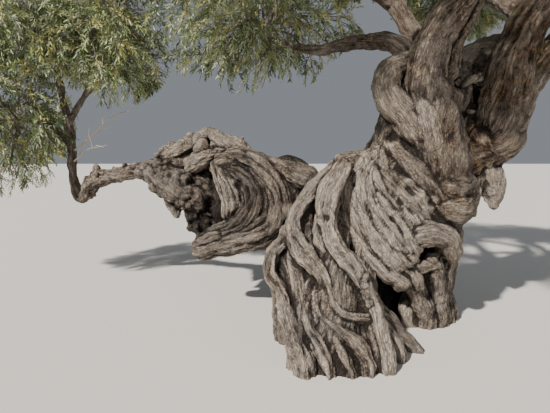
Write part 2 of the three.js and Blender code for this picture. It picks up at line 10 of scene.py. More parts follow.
import bpy
import json
import numpy as np
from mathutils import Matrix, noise

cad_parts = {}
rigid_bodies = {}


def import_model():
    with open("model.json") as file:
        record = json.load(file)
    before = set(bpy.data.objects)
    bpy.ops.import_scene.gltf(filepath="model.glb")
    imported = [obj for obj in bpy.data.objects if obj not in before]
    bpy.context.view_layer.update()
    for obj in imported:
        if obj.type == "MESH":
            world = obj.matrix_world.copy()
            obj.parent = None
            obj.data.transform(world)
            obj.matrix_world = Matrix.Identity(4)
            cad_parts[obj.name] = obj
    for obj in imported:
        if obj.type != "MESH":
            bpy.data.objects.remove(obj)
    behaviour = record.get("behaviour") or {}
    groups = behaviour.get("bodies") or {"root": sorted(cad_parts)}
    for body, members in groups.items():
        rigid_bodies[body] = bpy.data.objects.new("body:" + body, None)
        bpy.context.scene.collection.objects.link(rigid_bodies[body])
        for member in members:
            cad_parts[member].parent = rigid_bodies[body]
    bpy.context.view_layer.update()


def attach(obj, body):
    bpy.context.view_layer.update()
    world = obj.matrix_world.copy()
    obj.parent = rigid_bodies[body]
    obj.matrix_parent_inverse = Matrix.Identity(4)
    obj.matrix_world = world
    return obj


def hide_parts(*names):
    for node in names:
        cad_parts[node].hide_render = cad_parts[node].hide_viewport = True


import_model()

# %% [markdown]
# ## Sizes
# Stations of the wood are written in millimetres, as a forester would note them: x, y, z and the
# radius there. Everything in Blender is in metres, so one factor turns the one into the other.

# %% Sizes
MM = 0.001
GROUND = 0.0
BELOW_GROUND = -90  # the roots run on this far before the flat cut
print("the roots run on to", BELOW_GROUND * MM, "m")

# %% [markdown]
# ## The camera
# The tree is seen from eye height, a few steps in front of it and a little left of its trunk, with a
# wide lens that looks slightly down. The camera is placed first, so each later step can be looked at.

# %% The camera
EYE = (-0.770, -3.700, 1.600)
LOOKING_DOWN = 6.1  # degrees
VIEW_WIDTH = 550  # pixels
FOCAL_PIXELS = 431
SENSOR = 36.0
CAMERA_REACH = 200

bpy.ops.object.camera_add(location=EYE, rotation=(math.radians(90 - LOOKING_DOWN), 0, 0))
camera = bpy.context.object
camera.name = "camera"
camera.data.sensor_width = SENSOR
camera.data.lens = SENSOR * FOCAL_PIXELS / VIEW_WIDTH
camera.data.clip_end = CAMERA_REACH
bpy.context.scene.camera = camera
print("lens", round(camera.data.lens, 1), "mm")

# %% [markdown]
# ## How wood bends
# A limb is noted by a few stations, and the wood runs through them in one smooth bend. A centripetal
# spline does that without loops. Two side directions are carried along it without twist, so that
# grain can be wound round the limb later.


# %% How wood bends
def spline(points, step):
    """A smooth run through the points, and how far along the stations each place lies"""
    points = np.asarray(points, float)
    ends = np.vstack((2 * points[0] - points[1], points, 2 * points[-1] - points[-2]))
    places, shares = [], []
    for i in range(len(points) - 1):
        a, b, c, d = ends[i : i + 4]
        gaps = ((a, b), (b, c), (c, d))
        before, here, after = (max(np.linalg.norm(far - near), 1e-8) ** 0.5 for near, far in gaps)
        out = ((b - a) / before - (c - a) / (before + here) + (c - b) / here) * here
        into = ((c - b) / here - (d - b) / (here + after) + (d - c) / after) * here
        parts = max(1, round(np.linalg.norm(c - b) / step))
        for k in range(parts + (i == len(points) - 2)):
            t = k / parts
            place = b + out * t + (3 * (c - b) - 2 * out - into) * t**2
            places.append(place + (2 * (b - c) + out + into) * t**3)
            shares.append(i + t)
    return np.array(places), np.array(shares)


STEEP = 0.8  # a run that rises more than this starts with a side direction along x


def unit(vectors):
    return vectors / np.maximum(np.linalg.norm(vectors, axis=-1, keepdims=True), 1e-9)


def carried_sides(centres):
    """The direction of a run at each place, and two directions across it, carried without twist"""
    along = unit(np.gradient(centres, axis=0))
    side = np.array((1.0, 0, 0)) if abs(along[0][2]) > STEEP else np.array((0, 0, 1.0))
    sides = []
    for direction in along:
        side = side - direction * side.dot(direction)
        side = side / np.linalg.norm(side)
        sides.append(side)
    sides = np.array(sides)
    return along, sides, np.cross(along, sides)


print("a bend of 3 stations 1 m apart:", len(spline(((0, 0, 0), (1, 0, 0), (1, 1, 0)), 0.1)[0]), "places")

# %% [markdown]
# ## A fold
# A fold is one rope of wood. It keeps its middle line, its radii, its side directions and how far it has
# run, since its strands and its bark will read them. Its finish says how pale or dark it is (bleached wood
# and rotten wood, and on some folds painted light and painted shade), how brown, rough and furrowed it is,
# and how sharply a seam parts it from the next fold.

# %% A fold
FOLD_STEP = 0.03
TWIST_RUN = 0.5  # a fold's twist is the angle in radians by which its grain turns over this many metres
ROUNDED_END = ((0.75, 0.02), (0.62, 0.42), (0.42, 0.72), (0.2, 0.9))  # how far past the end, and how thick
PLAIN = {"tone": 0.0, "brown": 0.0, "rough": 1.0, "furrow": 1.0, "seam": 1.0}  # the finish of plain wood


class Fold:
    """One rope of wood, with its radius and its side directions at each place"""

    def __init__(self, stations, strands=0, twist=0.6, flute=0.5, **finish):
        stations = np.asarray(stations, float) * MM
        self.strands, self.twist, self.flute = strands, twist, flute
        finish = {**PLAIN, **finish}
        self.look = tuple(finish[key] for key in PLAIN)
        self.centres, shares = spline(stations[:, :3], FOLD_STEP)
        self.radii = np.interp(shares, range(len(stations)), stations[:, 3])
        self.along, self.side, self.other = carried_sides(self.centres)
        steps = np.linalg.norm(np.diff(self.centres, axis=0), axis=1)
        self.run = np.concatenate(([0.0], np.cumsum(steps)))

    def path(self, share=1.0):
        """Centres and radii, with rounded ends"""
        radii = self.radii * share
        ends = []
        for at, way in ((0, -1), (-1, 1)):
            for reach, part in ROUNDED_END:
                place = self.centres[at] + way * reach * radii[at] * self.along[at]
                ends.append(np.append(place, part * radii[at]))
        body = np.column_stack((self.centres, radii))
        return np.vstack((ends[: len(ROUNDED_END)], body, ends[: len(ROUNDED_END) - 1 : -1]))


print("a fold has a place every", FOLD_STEP, "m")

# %% [markdown]
# ## Sheaves and knobs
# Two habits of old wood come back all over the tree. Folds lie side by side in a sheaf, so only the
# first and last one are noted. Knobs and splinters stick out at random, so only the fold that they sit
# on is noted, and a seed keeps them the same each time.

# %% Sheaves and knobs
LESS_UNEVEN = 0.5  # the radii vary less than the places
KNOB_TAPER = 0.8
KNOB_STRAY = 0.9  # how far a knob's direction strays from straight out


def sheaf(first, last, count, bow=0, uneven=0, **finish):
    """Folds spread from a first one to a last one, the middle ones proud of them, all a little uneven"""
    first, last = np.asarray(first, float), np.asarray(last, float)
    dice, folds = np.random.default_rng(count), []
    for i in range(count):
        share = i / (count - 1)
        stations = first + (last - first) * share
        stations[:, 1] -= bow * math.sin(math.pi * share)
        stations += uneven * dice.normal(size=stations.shape) * (1, 1, 1, LESS_UNEVEN)
        folds.append(Fold(stations, **finish))
    return folds


def knob(place, radius, reach, **finish):
    """A short lump of wood that reaches off in a direction"""
    place, reach = np.asarray(place, float), np.asarray(reach, float)
    return Fold([(*(place - reach / 2), radius), (*(place + reach / 2), KNOB_TAPER * radius)], **finish)


def knobs_on(stations, seed, count, out, size, reach, **finish):
    """Knobs at random round a fold: out and size are in parts of its radius, reach in millimetres"""
    host, dice, knobs = Fold(stations), np.random.default_rng(seed), []
    for _ in range(count):
        at = dice.integers(len(host.centres))
        angle, radius = dice.uniform(0, 2 * math.pi), host.radii[at] / MM
        aside = math.cos(angle) * host.side[at] + math.sin(angle) * host.other[at]
        place = host.centres[at] / MM + aside * radius * dice.uniform(*out)
        way = unit(aside + KNOB_STRAY * dice.normal(size=3)) * dice.uniform(*reach)
        knobs.append(knob(place, radius * dice.uniform(*size), way, **finish))
    return knobs


print("knobs on a plain post:", len(knobs_on([(0, 0, 0, 90), (0, 0, 900, 90)], 1, 5, (1, 1), (1, 1), (9, 9))))

# %% [markdown]
# ## The folds of the trunk
# An old olive isn't one round column: it is a bundle of ropes that grew round each other, spread at
# the foot and left hollows between them. So the trunk is noted rope by rope. The front shows a great
# twist with an elbow beside it, drapes that fall to the left, and a lobe with a niche under it.


# %% The front of the trunk
def front_folds():
    twist = [
        (610, 200, 2600, 140), (575, 185, 2440, 160), (560, 170, 2300, 180), (635, 180, 2060, 222),
        (655, 190, 1900, 250), (695, 200, 1730, 268), (760, 200, 1550, 245), (805, 205, 1320, 195),
        (775, 180, 1120, 160),
    ]
    elbow = [
        (430, 300, 2500, 90), (250, 260, 2370, 125), (205, 200, 2210, 130), (300, 125, 2050, 138),
        (450, 130, 1900, 158), (590, 160, 1740, 160), (690, 200, 1540, 150), (770, 230, 1300, 100),
    ]
    merging = [
        (455, 120, 2130, 80), (490, 85, 2040, 118), (530, 62, 1920, 140), (590, 72, 1780, 145),
        (645, 118, 1650, 118),
    ]
    behind_elbow = [(490, 330, 2420, 100), (440, 320, 2180, 135), (420, 300, 1900, 150)]
    left_edge = [
        (340, 270, 2110, 130), (270, 280, 1860, 135), (230, 270, 1690, 130), (90, 260, 1520, 130),
        (-60, 250, 1340, 115),
    ]
    mantle = [(310, 310, 1900, 165), (310, 310, 1640, 200), (240, 260, 1300, 250), (330, 230, 960, 250)]
    ridge = [
        (220, 260, 1850, 75), (270, 200, 1720, 95), (390, 165, 1580, 118), (540, 150, 1440, 140),
        (700, 160, 1260, 150), (840, 185, 1090, 120),
    ]
    belly = [(60, 260, 1540, 140), (240, 200, 1400, 185), (460, 180, 1220, 195), (680, 190, 1030, 165)]
    hem = [
        (10, 240, 1540, 100), (-110, 160, 1290, 98), (-90, 110, 1060, 96), (60, 70, 820, 96),
        (220, 55, 630, 95), (370, 85, 520, 80),
    ]
    last_drape = [
        (170, 250, 1700, 85), (190, 160, 1500, 100), (320, 118, 1300, 108), (440, 100, 1130, 108),
        (510, 95, 1020, 100), (530, 120, 960, 78),
    ]
    lobe = [
        (300, 100, 800, 106), (430, 60, 915, 120), (590, 45, 975, 118), (745, 80, 920, 108),
        (845, 150, 760, 90),
    ]
    niche_floor = [(350, 90, 660, 80), (500, 85, 645, 72), (690, 125, 680, 62)]
    nose = [(440, 70, 650, 62), (500, 55, 560, 58), (530, 90, 460, 42)]
    upper_knuckle = [
        (560, 190, 1440, 60), (690, 115, 1405, 108), (820, 84, 1385, 138), (950, 160, 1430, 95),
    ]
    lower_knuckle = [
        (590, 190, 1250, 60), (710, 105, 1190, 108), (830, 80, 1180, 132), (950, 170, 1250, 90),
    ]
    drapes = {"tone": 0.7, "rough": 1.2, "furrow": 1.6, "twist": 0.2, "seam": 0.35}
    knuckle = {"tone": -0.2, "brown": 0.5, "rough": 1.1, "seam": 0.1}
    return [
        Fold(twist, rough=1.1, furrow=0.7, tone=-0.4, brown=0.6, seam=0.1),
        Fold(elbow, rough=0.9, furrow=0.6, tone=0.25, brown=0.15, seam=0.1),
        Fold(merging, rough=1.2, furrow=0.6, tone=0.1, brown=0.35, seam=0.0),
        Fold(behind_elbow, tone=-0.3),
        Fold(left_edge, rough=0.9, furrow=1.0, tone=-0.75, seam=0.4),
        Fold(mantle, tone=-0.65, seam=0.4),
        Fold(ridge, rough=0.8, furrow=0.8, tone=-0.1, brown=0.3, seam=0.5),
        Fold(belly, rough=1.1, furrow=1.5, tone=0.1, seam=0.4),
        *sheaf(hem, last_drape, count=10, bow=30, uneven=11, **drapes),
        Fold(lobe, tone=0.1),
        Fold(niche_floor),
        Fold(nose, tone=-0.1, rough=1.4),
        Fold(upper_knuckle, **knuckle),
        Fold(lower_knuckle, **knuckle),
    ]


# %% [markdown]
# ## The right leg
# The right leg stands apart from the rest, beside an opening that is dark inside. It is a bundle of
# fluted folds. The stump of an old one stands in the opening, and a wall of wood closes its back.


# %% The right leg
def right_leg_folds():
    inner = [(430, 110, 590, 82), (550, 200, 400, 84), (660, 300, 180, 90), (720, 380, BELOW_GROUND, 105)]
    middle = [
        (650, 150, 700, 95), (750, 270, 400, 95), (830, 370, 120, 100), (850, 420, BELOW_GROUND, 115),
    ]
    outer = [
        (850, 330, 980, 140), (870, 420, 640, 118), (900, 480, 300, 108), (940, 530, BELOW_GROUND, 130),
    ]
    rear = [(720, 600, 1050, 200), (740, 680, 540, 160), (800, 760, BELOW_GROUND, 190)]
    stump = [(560, 400, 380, 60), (520, 370, 200, 85), (540, 380, BELOW_GROUND, 100)]
    back_wall = [(400, 700, 950, 170), (430, 720, 450, 150), (430, 740, BELOW_GROUND, 170)]
    finish = {"strands": 7, "twist": 0.3, "flute": 1.0, "tone": -0.1, "rough": 1.3}
    return [
        Fold(inner, **finish),
        Fold(middle, **finish),
        Fold(outer, **finish),
        Fold(rear, strands=8, flute=0.6),
        Fold(stump, tone=0.6),
        Fold(back_wall, tone=-0.7),
    ]


# %% [markdown]
# ## The right shoulder
# Above the leg the wood bulges out to the right and ends in a pale stub that points down. Between the
# boughs old wood has broken away, and splinters of it are left.


# %% The right shoulder
def right_shoulder_folds():
    neck = [(960, 450, 1080, 190), (1010, 540, 1550, 240), (1030, 600, 2080, 190), (1010, 620, 2360, 130)]
    hanging_bulge = [
        (850, 420, 1500, 200), (1120, 430, 1660, 185), (1320, 400, 1790, 230), (1350, 400, 2060, 238),
        (1370, 400, 2240, 225), (1410, 415, 2420, 190),
    ]
    bulge_lip = [
        (1170, 350, 1790, 130), (1250, 340, 1700, 138), (1380, 370, 1710, 132), (1430, 410, 1860, 140),
    ]
    pale_stub = [
        (1190, 450, 1640, 150), (1260, 440, 1440, 150), (1320, 430, 1290, 110), (1330, 420, 1150, 45),
    ]
    broken_wood = [(930, 480, 2080, 130), (990, 520, 2320, 125), (1060, 560, 2500, 80)]
    broken_edge = [
        (1080, 620, 2050, 130), (1160, 650, 2300, 120), (1230, 680, 2480, 100), (1290, 720, 2640, 60),
    ]
    splinters = {"out": (0.5, 0.95), "size": (0.14, 0.32), "reach": (120, 300), "tone": 0.9, "rough": 1.5}
    return [
        Fold(broken_wood, tone=-0.4, rough=2.0),
        Fold(broken_edge, tone=-0.5, rough=2.0),
        *knobs_on(broken_wood, seed=17, count=26, **splinters),
        *knobs_on(broken_edge, seed=23, count=22, **splinters),
        Fold(neck, strands=7, flute=0.6, brown=0.5, tone=-0.2),
        Fold(hanging_bulge, brown=1.0, furrow=0.9),
        Fold(bulge_lip, rough=0.9, brown=1.0),
        Fold(pale_stub, strands=4, twist=0.2, flute=0.5, tone=0.8),
    ]


FRONT = [*front_folds(), *right_leg_folds(), *right_shoulder_folds()]
print("folds of the front:", len(FRONT))

# %% [markdown]
# ## The buttress and the left leg
# In front of the left leg stands a buttress. A heap of plain wood fills it, and what catches the eye
# lies on that: a ridge that sweeps out to the left and back along the foot, an arm that comes down
# over its middle, and fluted roots that spread from both of them to the ground.


# %% The buttress and the left leg
def buttress_folds():
    filling = [
        (-90, 330, 1330, 180), (-280, 170, 1000, 200), (-330, -90, 700, 250), (-320, -215, 520, 255),
        (-310, -300, 350, 265), (-290, -350, 110, 295), (-280, -370, BELOW_GROUND, 320),
    ]
    footing = [(-80, 250, 820, 250), (-60, 120, 400, 230), (-30, 30, BELOW_GROUND, 250)]
    sweeping_ridge = [
        (-210, 120, 1580, 66), (-370, 50, 1420, 64), (-500, -10, 1290, 66), (-590, -80, 1180, 60),
        (-625, -140, 1060, 68), (-600, -210, 940, 86), (-530, -280, 840, 95), (-455, -320, 760, 84),
        (-390, -365, 670, 68), (-350, -415, 580, 58), (-325, -475, 490, 54), (-240, -515, 420, 52),
        (-90, -470, 385, 50), (40, -440, 345, 48), (150, -410, 240, 44), (220, -400, 100, 46),
        (240, -400, BELOW_GROUND, 50),
    ]
    arm = [
        (-190, 80, 1540, 95), (-250, 30, 1430, 104), (-310, -40, 1310, 112), (-335, -90, 1210, 104),
        (-325, -150, 1090, 78), (-300, -220, 980, 70), (-255, -270, 880, 78), (-180, -315, 800, 88),
        (-110, -345, 710, 80), (-60, -385, 610, 66), (-10, -430, 500, 58), (20, -480, 380, 54),
        (60, -540, 190, 60), (90, -590, BELOW_GROUND, 65),
    ]
    rib = [(-390, -40, 1150, 38), (-420, -120, 1030, 42), (-400, -200, 910, 42), (-340, -270, 800, 40)]
    rotten_wood = [
        (-430, 100, 1200, 60), (-490, 30, 1080, 72), (-490, -60, 970, 85), (-440, -140, 850, 80),
    ]
    face = [
        (-620, -30, 890, 110), (-640, -140, 740, 125), (-590, -250, 600, 130), (-560, -350, 430, 130),
        (-520, -420, 230, 150), (-500, -450, BELOW_GROUND, 175),
    ]
    right_of_filling = [
        (-150, -200, 600, 140), (-90, -330, 350, 150), (-40, -440, 120, 160),
        (-20, -460, BELOW_GROUND, 175),
    ]
    outer_root = [
        (-700, -120, 930, 58), (-790, -210, 810, 66), (-800, -265, 680, 68), (-725, -330, 570, 66),
        (-670, -400, 470, 70), (-655, -460, 360, 76), (-610, -530, 220, 80), (-550, -590, 80, 84),
        (-520, -620, BELOW_GROUND, 88),
    ]
    inner_flare = [
        (-480, -320, 640, 60), (-540, -410, 460, 66), (-510, -500, 320, 68), (-430, -565, 210, 66),
        (-370, -610, 80, 66), (-340, -640, BELOW_GROUND, 72),
    ]
    long_flare = [
        (-420, -340, 650, 54), (-430, -430, 490, 60), (-370, -500, 380, 64), (-250, -550, 300, 66),
        (-150, -580, 210, 64), (-90, -600, 110, 64), (-60, -620, BELOW_GROUND, 70),
    ]
    short_flare = [
        (-300, -480, 420, 44), (-330, -545, 300, 50), (-270, -600, 180, 54), (-210, -640, 50, 56),
        (-190, -650, BELOW_GROUND, 60),
    ]
    painted_shade_root = [
        (-80, -330, 600, 66), (80, -250, 390, 62), (230, -210, 230, 60), (350, -210, 100, 58),
        (480, -220, BELOW_GROUND, 56),
    ]
    bridge = [(-210, 90, 1600, 65), (-60, 230, 1600, 80), (150, 390, 1620, 100)]
    fluted = {"strands": 5, "twist": 0.25, "flute": 0.6, "rough": 1.2, "furrow": 1.6, "seam": 0.6}
    knuckles = {"out": (0.5, 0.8), "size": (0.5, 0.7), "reach": (20, 70), "tone": 0.3, "rough": 1.6}
    return [
        Fold(filling, tone=-0.2),
        Fold(footing, tone=-0.2),
        Fold(bridge, rough=0.8),
        Fold(sweeping_ridge, strands=4, twist=0.4, flute=0.5, tone=0.1, furrow=1.4),
        Fold(arm, strands=4, twist=0.3, flute=0.5, tone=0.3, furrow=1.4),
        Fold(rib, tone=0.4),
        Fold(rotten_wood, tone=-0.8, rough=2.2),
        Fold(face, **fluted),
        Fold(outer_root, **fluted),
        Fold(inner_flare, **fluted),
        Fold(long_flare, **fluted),
        # Painted shade: this root is given a darker tone for the deep shade it lies in
        Fold(painted_shade_root, tone=-0.3),
        Fold(right_of_filling, **fluted),
        Fold(short_flare, **fluted),
        *knobs_on(arm[7:11], seed=3, count=9, **knuckles),
    ]


def left_leg_folds():
    outer = [
        (-600, 120, 960, 120), (-700, 120, 650, 110), (-670, 60, 320, 105), (-640, 30, BELOW_GROUND, 140),
    ]
    rear = [
        (-420, 430, 1000, 190), (-540, 460, 600, 150), (-560, 500, 250, 140),
        (-580, 560, BELOW_GROUND, 180),
    ]
    return sheaf(outer, rear, count=2, strands=6, flute=0.6, tone=-0.2)


FOOT = [*buttress_folds(), *left_leg_folds()]
print("folds of the buttress and the left leg:", len(FOOT))

# %% [markdown]
# ## The back of the trunk
# The back isn't seen in the picture, so it is finished in the same habit: folds stand round the axis
# at even angles, turn a little as they rise and spread at the foot. The first ones, on the right, end
# early, because the right leg under them has folds of its own.

# %% The back of the trunk
BACK_FIRST_ANGLE = 5
BACK_LAST_ANGLE = 200
BACK_FOLDS = 9
BACK_TWIST = 28
LEG_ANGLE = 30
LEG_HALF_WIDTH = 26
BACK_LEVELS = (  # z, x and y of the axis, how far out the folds stand, their radius
    (2200, 640, 400, 230, 90),
    (1700, 510, 430, 280, 130),
    (1150, 260, 440, 390, 150),
    (500, 120, 390, 470, 140),
    (BELOW_GROUND, 120, 380, 640, 165),
)


def back_folds():
    folds = []
    for i in range(BACK_FOLDS):
        angle = BACK_FIRST_ANGLE + (BACK_LAST_ANGLE - BACK_FIRST_ANGLE) * i / (BACK_FOLDS - 1)
        over_leg = abs(angle - LEG_ANGLE) < LEG_HALF_WIDTH
        stations = []
        for k, (z, x, y, out, radius) in enumerate(BACK_LEVELS[:-2] if over_leg else BACK_LEVELS):
            turned = math.radians(angle - BACK_TWIST * (len(BACK_LEVELS) - k) / len(BACK_LEVELS))
            stations.append((x + out * math.cos(turned), y + out * math.sin(turned), z, radius))
        folds.append(Fold(stations, strands=6, twist=0.4))
    return folds


HEART = [
    (-60, 380, 700, 290), (200, 430, 1100, 360), (420, 450, 1500, 380), (580, 430, 1950, 330),
    (650, 370, 2320, 220),
]
COLUMN = [Fold(HEART, tone=-0.4), *FRONT, *back_folds()]
print("folds of the whole trunk:", len(COLUMN) + len(FOOT))

# %% [markdown]
# ## The swirl
# One stem leans so far that its wood has flowed round a hollow in a swirl, like water round a stone. Its
# stations are easier to note from the slanting line that the stem follows than from the trunk.


# %% The swirl
LEAN_START = -400  # X where the leaning stem leaves the trunk
LEAN_FRONT = 100  # its Y there
LEAN_AWAY = 0.58  # how far it runs back for each step to the left


def leaning(*notes):
    """Stations on the leaning stem, from notes with the distance off its slanting line in place of y"""
    return [(x, LEAN_FRONT + LEAN_AWAY * (LEAN_START - x) + off, z, radius) for x, off, z, radius in notes]


def swirl_folds():
    round_hollow = leaning(
        (-1400, 60, 1530, 34), (-1240, 10, 1450, 38), (-1110, -10, 1300, 40), (-1100, -30, 1150, 40),
        (-1210, -20, 1010, 38), (-1390, 10, 900, 32), (-1560, 30, 870, 20),
    )
    under_band = leaning(
        (-1340, 20, 1600, 44), (-1010, 0, 1500, 48), (-850, -10, 1320, 50), (-840, -20, 1140, 50),
        (-1000, -40, 960, 48), (-1320, -40, 820, 44), (-1510, -40, 750, 30),
    )
    outer_band = leaning(
        (-1340, 60, 1600, 70), (-1180, 20, 1640, 82), (-980, 20, 1590, 108), (-780, 40, 1420, 138),
        (-690, 40, 1200, 150), (-740, 30, 1000, 140), (-920, 0, 870, 122), (-1150, -30, 790, 108),
        (-1360, -40, 720, 92), (-1500, -50, 655, 76), (-1585, -50, 665, 54), (-1590, -60, 735, 46),
        (-1480, -90, 795, 40), (-1330, -100, 865, 36),
    )
    ribbon_left = leaning(
        (-1385, -25, 1560, 30), (-1345, -75, 1450, 34), (-1300, -95, 1310, 36), (-1255, -85, 1170, 34),
        (-1270, -50, 1040, 26),
    )
    ribbon_right = leaning(
        (-1330, -10, 1585, 34), (-1255, -55, 1480, 38), (-1170, -70, 1340, 40), (-1130, -55, 1180, 38),
        (-1190, -30, 1040, 30),
    )
    ribbon = {"twist": 0.2, "tone": 0.1, "furrow": 1.6, "seam": 0.6}
    return [
        *sheaf(round_hollow, under_band, count=9, bow=30, uneven=9, tone=-0.58, furrow=1.5),
        Fold(outer_band, strands=10, twist=0.12, flute=0.5, tone=-0.42, rough=1.2, furrow=1.8),
        *sheaf(ribbon_left, ribbon_right, count=4, bow=12, uneven=6, **ribbon),
    ]


SWIRL = swirl_folds()
print("folds of the swirl:", len(SWIRL))

# %% [markdown]
# ## The leaning stem
# Beyond the swirl the stem swells into a rough burl and rises to a pointed summit. The wood beside the
# hollow has gone spongy, so it is a heap of small dark knobs.


# %% The leaning stem
def leaning_folds():
    heart = leaning(
        (-330, 260, 1100, 250), (-800, 330, 1180, 320), (-1250, 440, 1200, 260), (-1700, 260, 1330, 260),
        (-2050, 90, 1460, 170),
    )
    top_ridge = leaning(
        (-450, 120, 1430, 130), (-800, 60, 1540, 95), (-1100, 30, 1600, 95), (-1340, 20, 1540, 85),
    )
    summit_heart = leaning((-1100, 300, 1480, 170), (-1430, 280, 1640, 160), (-1800, 180, 1580, 150))
    right_of_summit = leaning(
        (-1010, 110, 1640, 60), (-1130, 140, 1720, 90), (-1290, 160, 1790, 100), (-1440, 160, 1900, 62),
    )
    under_summit = leaning(
        (-1150, 150, 1620, 110), (-1330, 130, 1670, 90), (-1500, 90, 1640, 95), (-1640, 70, 1560, 110),
    )
    summit_slope = leaning(
        (-1430, 170, 1900, 66), (-1560, 150, 1830, 88), (-1720, 130, 1740, 105), (-2000, 90, 1620, 115),
    )
    summit_knob = leaning((-1500, 60, 1760, 66), (-1560, 50, 1700, 60))
    burl = leaning(
        (-1600, 60, 1180, 150), (-1780, 20, 1300, 205), (-2000, 20, 1400, 190), (-2170, 40, 1500, 130),
    )
    hanging_knob = leaning((-1880, 20, 1200, 110), (-1850, 10, 1090, 85), (-1820, 10, 1000, 45))
    back_ridge = [
        (-290, 350, 1160, 150), (-430, 420, 1360, 120), (-580, 480, 1520, 105), (-800, 600, 1530, 115),
        (-1150, 800, 1480, 170),
    ]
    spongy_wood = leaning(
        (-1440, 120, 800, 95), (-1560, 110, 940, 130), (-1620, 130, 1120, 150), (-1560, 150, 1290, 120),
    )
    hollow_back = leaning((-1330, 310, 860, 130), (-1290, 310, 1100, 165), (-1340, 300, 1360, 150))
    sponge = {"out": (0.6, 1.1), "size": (0.20, 0.34), "reach": (50, 190), "tone": -0.9, "rough": 2.2}
    summit = {"out": (0.5, 0.8), "size": (0.3, 0.5), "reach": (30, 120), "rough": 1.7, "seam": 0.5}
    lumps = {"out": (0.62, 0.86), "size": (0.30, 0.52), "reach": (20, 90), "tone": -0.4, "rough": 2.0}
    return [
        Fold(heart, strands=8, twist=0.3, flute=0.6, tone=-0.3),
        # Painted shade: the top ridge's dark tone stands for shade on it
        Fold(top_ridge, strands=5, twist=0.3, flute=0.3, tone=-0.25),
        Fold(summit_heart, tone=-0.4, rough=1.3),
        Fold(right_of_summit, tone=0.2, rough=1.5, seam=0.4),
        Fold(under_summit, tone=0.1, rough=1.6, seam=0.4),
        Fold(summit_slope, strands=4, flute=0.4, tone=0.2, rough=1.5, seam=0.4),
        Fold(summit_knob, tone=0.0, rough=1.5),
        *knobs_on(summit_slope, seed=21, count=16, **summit),
        *knobs_on(right_of_summit, seed=22, count=8, **summit),
        Fold(burl, rough=2.0, tone=-0.35),
        # The back of the hollow: rotten wood, and painted shade that makes it as dark as a deep hollow
        Fold(hollow_back, tone=-1.05, rough=2.4),
        Fold(spongy_wood, tone=-0.9, rough=2.4),
        Fold(hanging_knob, rough=2.0),
        # Painted shade: the back ridge's dark tone stands for the shade on its inner side
        Fold(back_ridge, strands=5, flute=0.4, tone=-0.75),
        *SWIRL,
        *knobs_on(spongy_wood, seed=11, count=46, **sponge),
        *knobs_on(burl, seed=12, count=30, **lumps),
    ]


LEANING = leaning_folds()
print("folds of the leaning stem:", len(LEANING))

# %% [markdown]
# ## The left limb
# A level limb runs out from the burl and hooks down at its end, with a dead stub on the hook.


# %% The left limb
def left_limb_folds():
    level = leaning(
        (-2060, 40, 1500, 120), (-2300, 0, 1490, 102), (-2600, 0, 1440, 94), (-2860, 0, 1390, 108),
        (-3020, 0, 1310, 116), (-3120, 0, 1170, 85),
    )
    stub = leaning((-2920, 0, 1400, 65), (-2950, 0, 1520, 45))
    lumps = {"out": (0.45, 0.8), "size": (0.35, 0.6), "reach": (20, 100), "rough": 1.6}
    return [
        Fold(level, strands=4, twist=0.5, flute=0.5, rough=1.5),
        Fold(stub, tone=0.2),
        *knobs_on(level, seed=5, count=16, **lumps),
    ]


LIMB = left_limb_folds()
print("folds of the left limb:", len(LIMB))

# %% [markdown]
# ## The boughs
# Each bough is one tapering limb. Two great ones rise from the fork, one to each side, and the lesser
# ones leave them to the front, the back and the left, so that the crown is full all round.

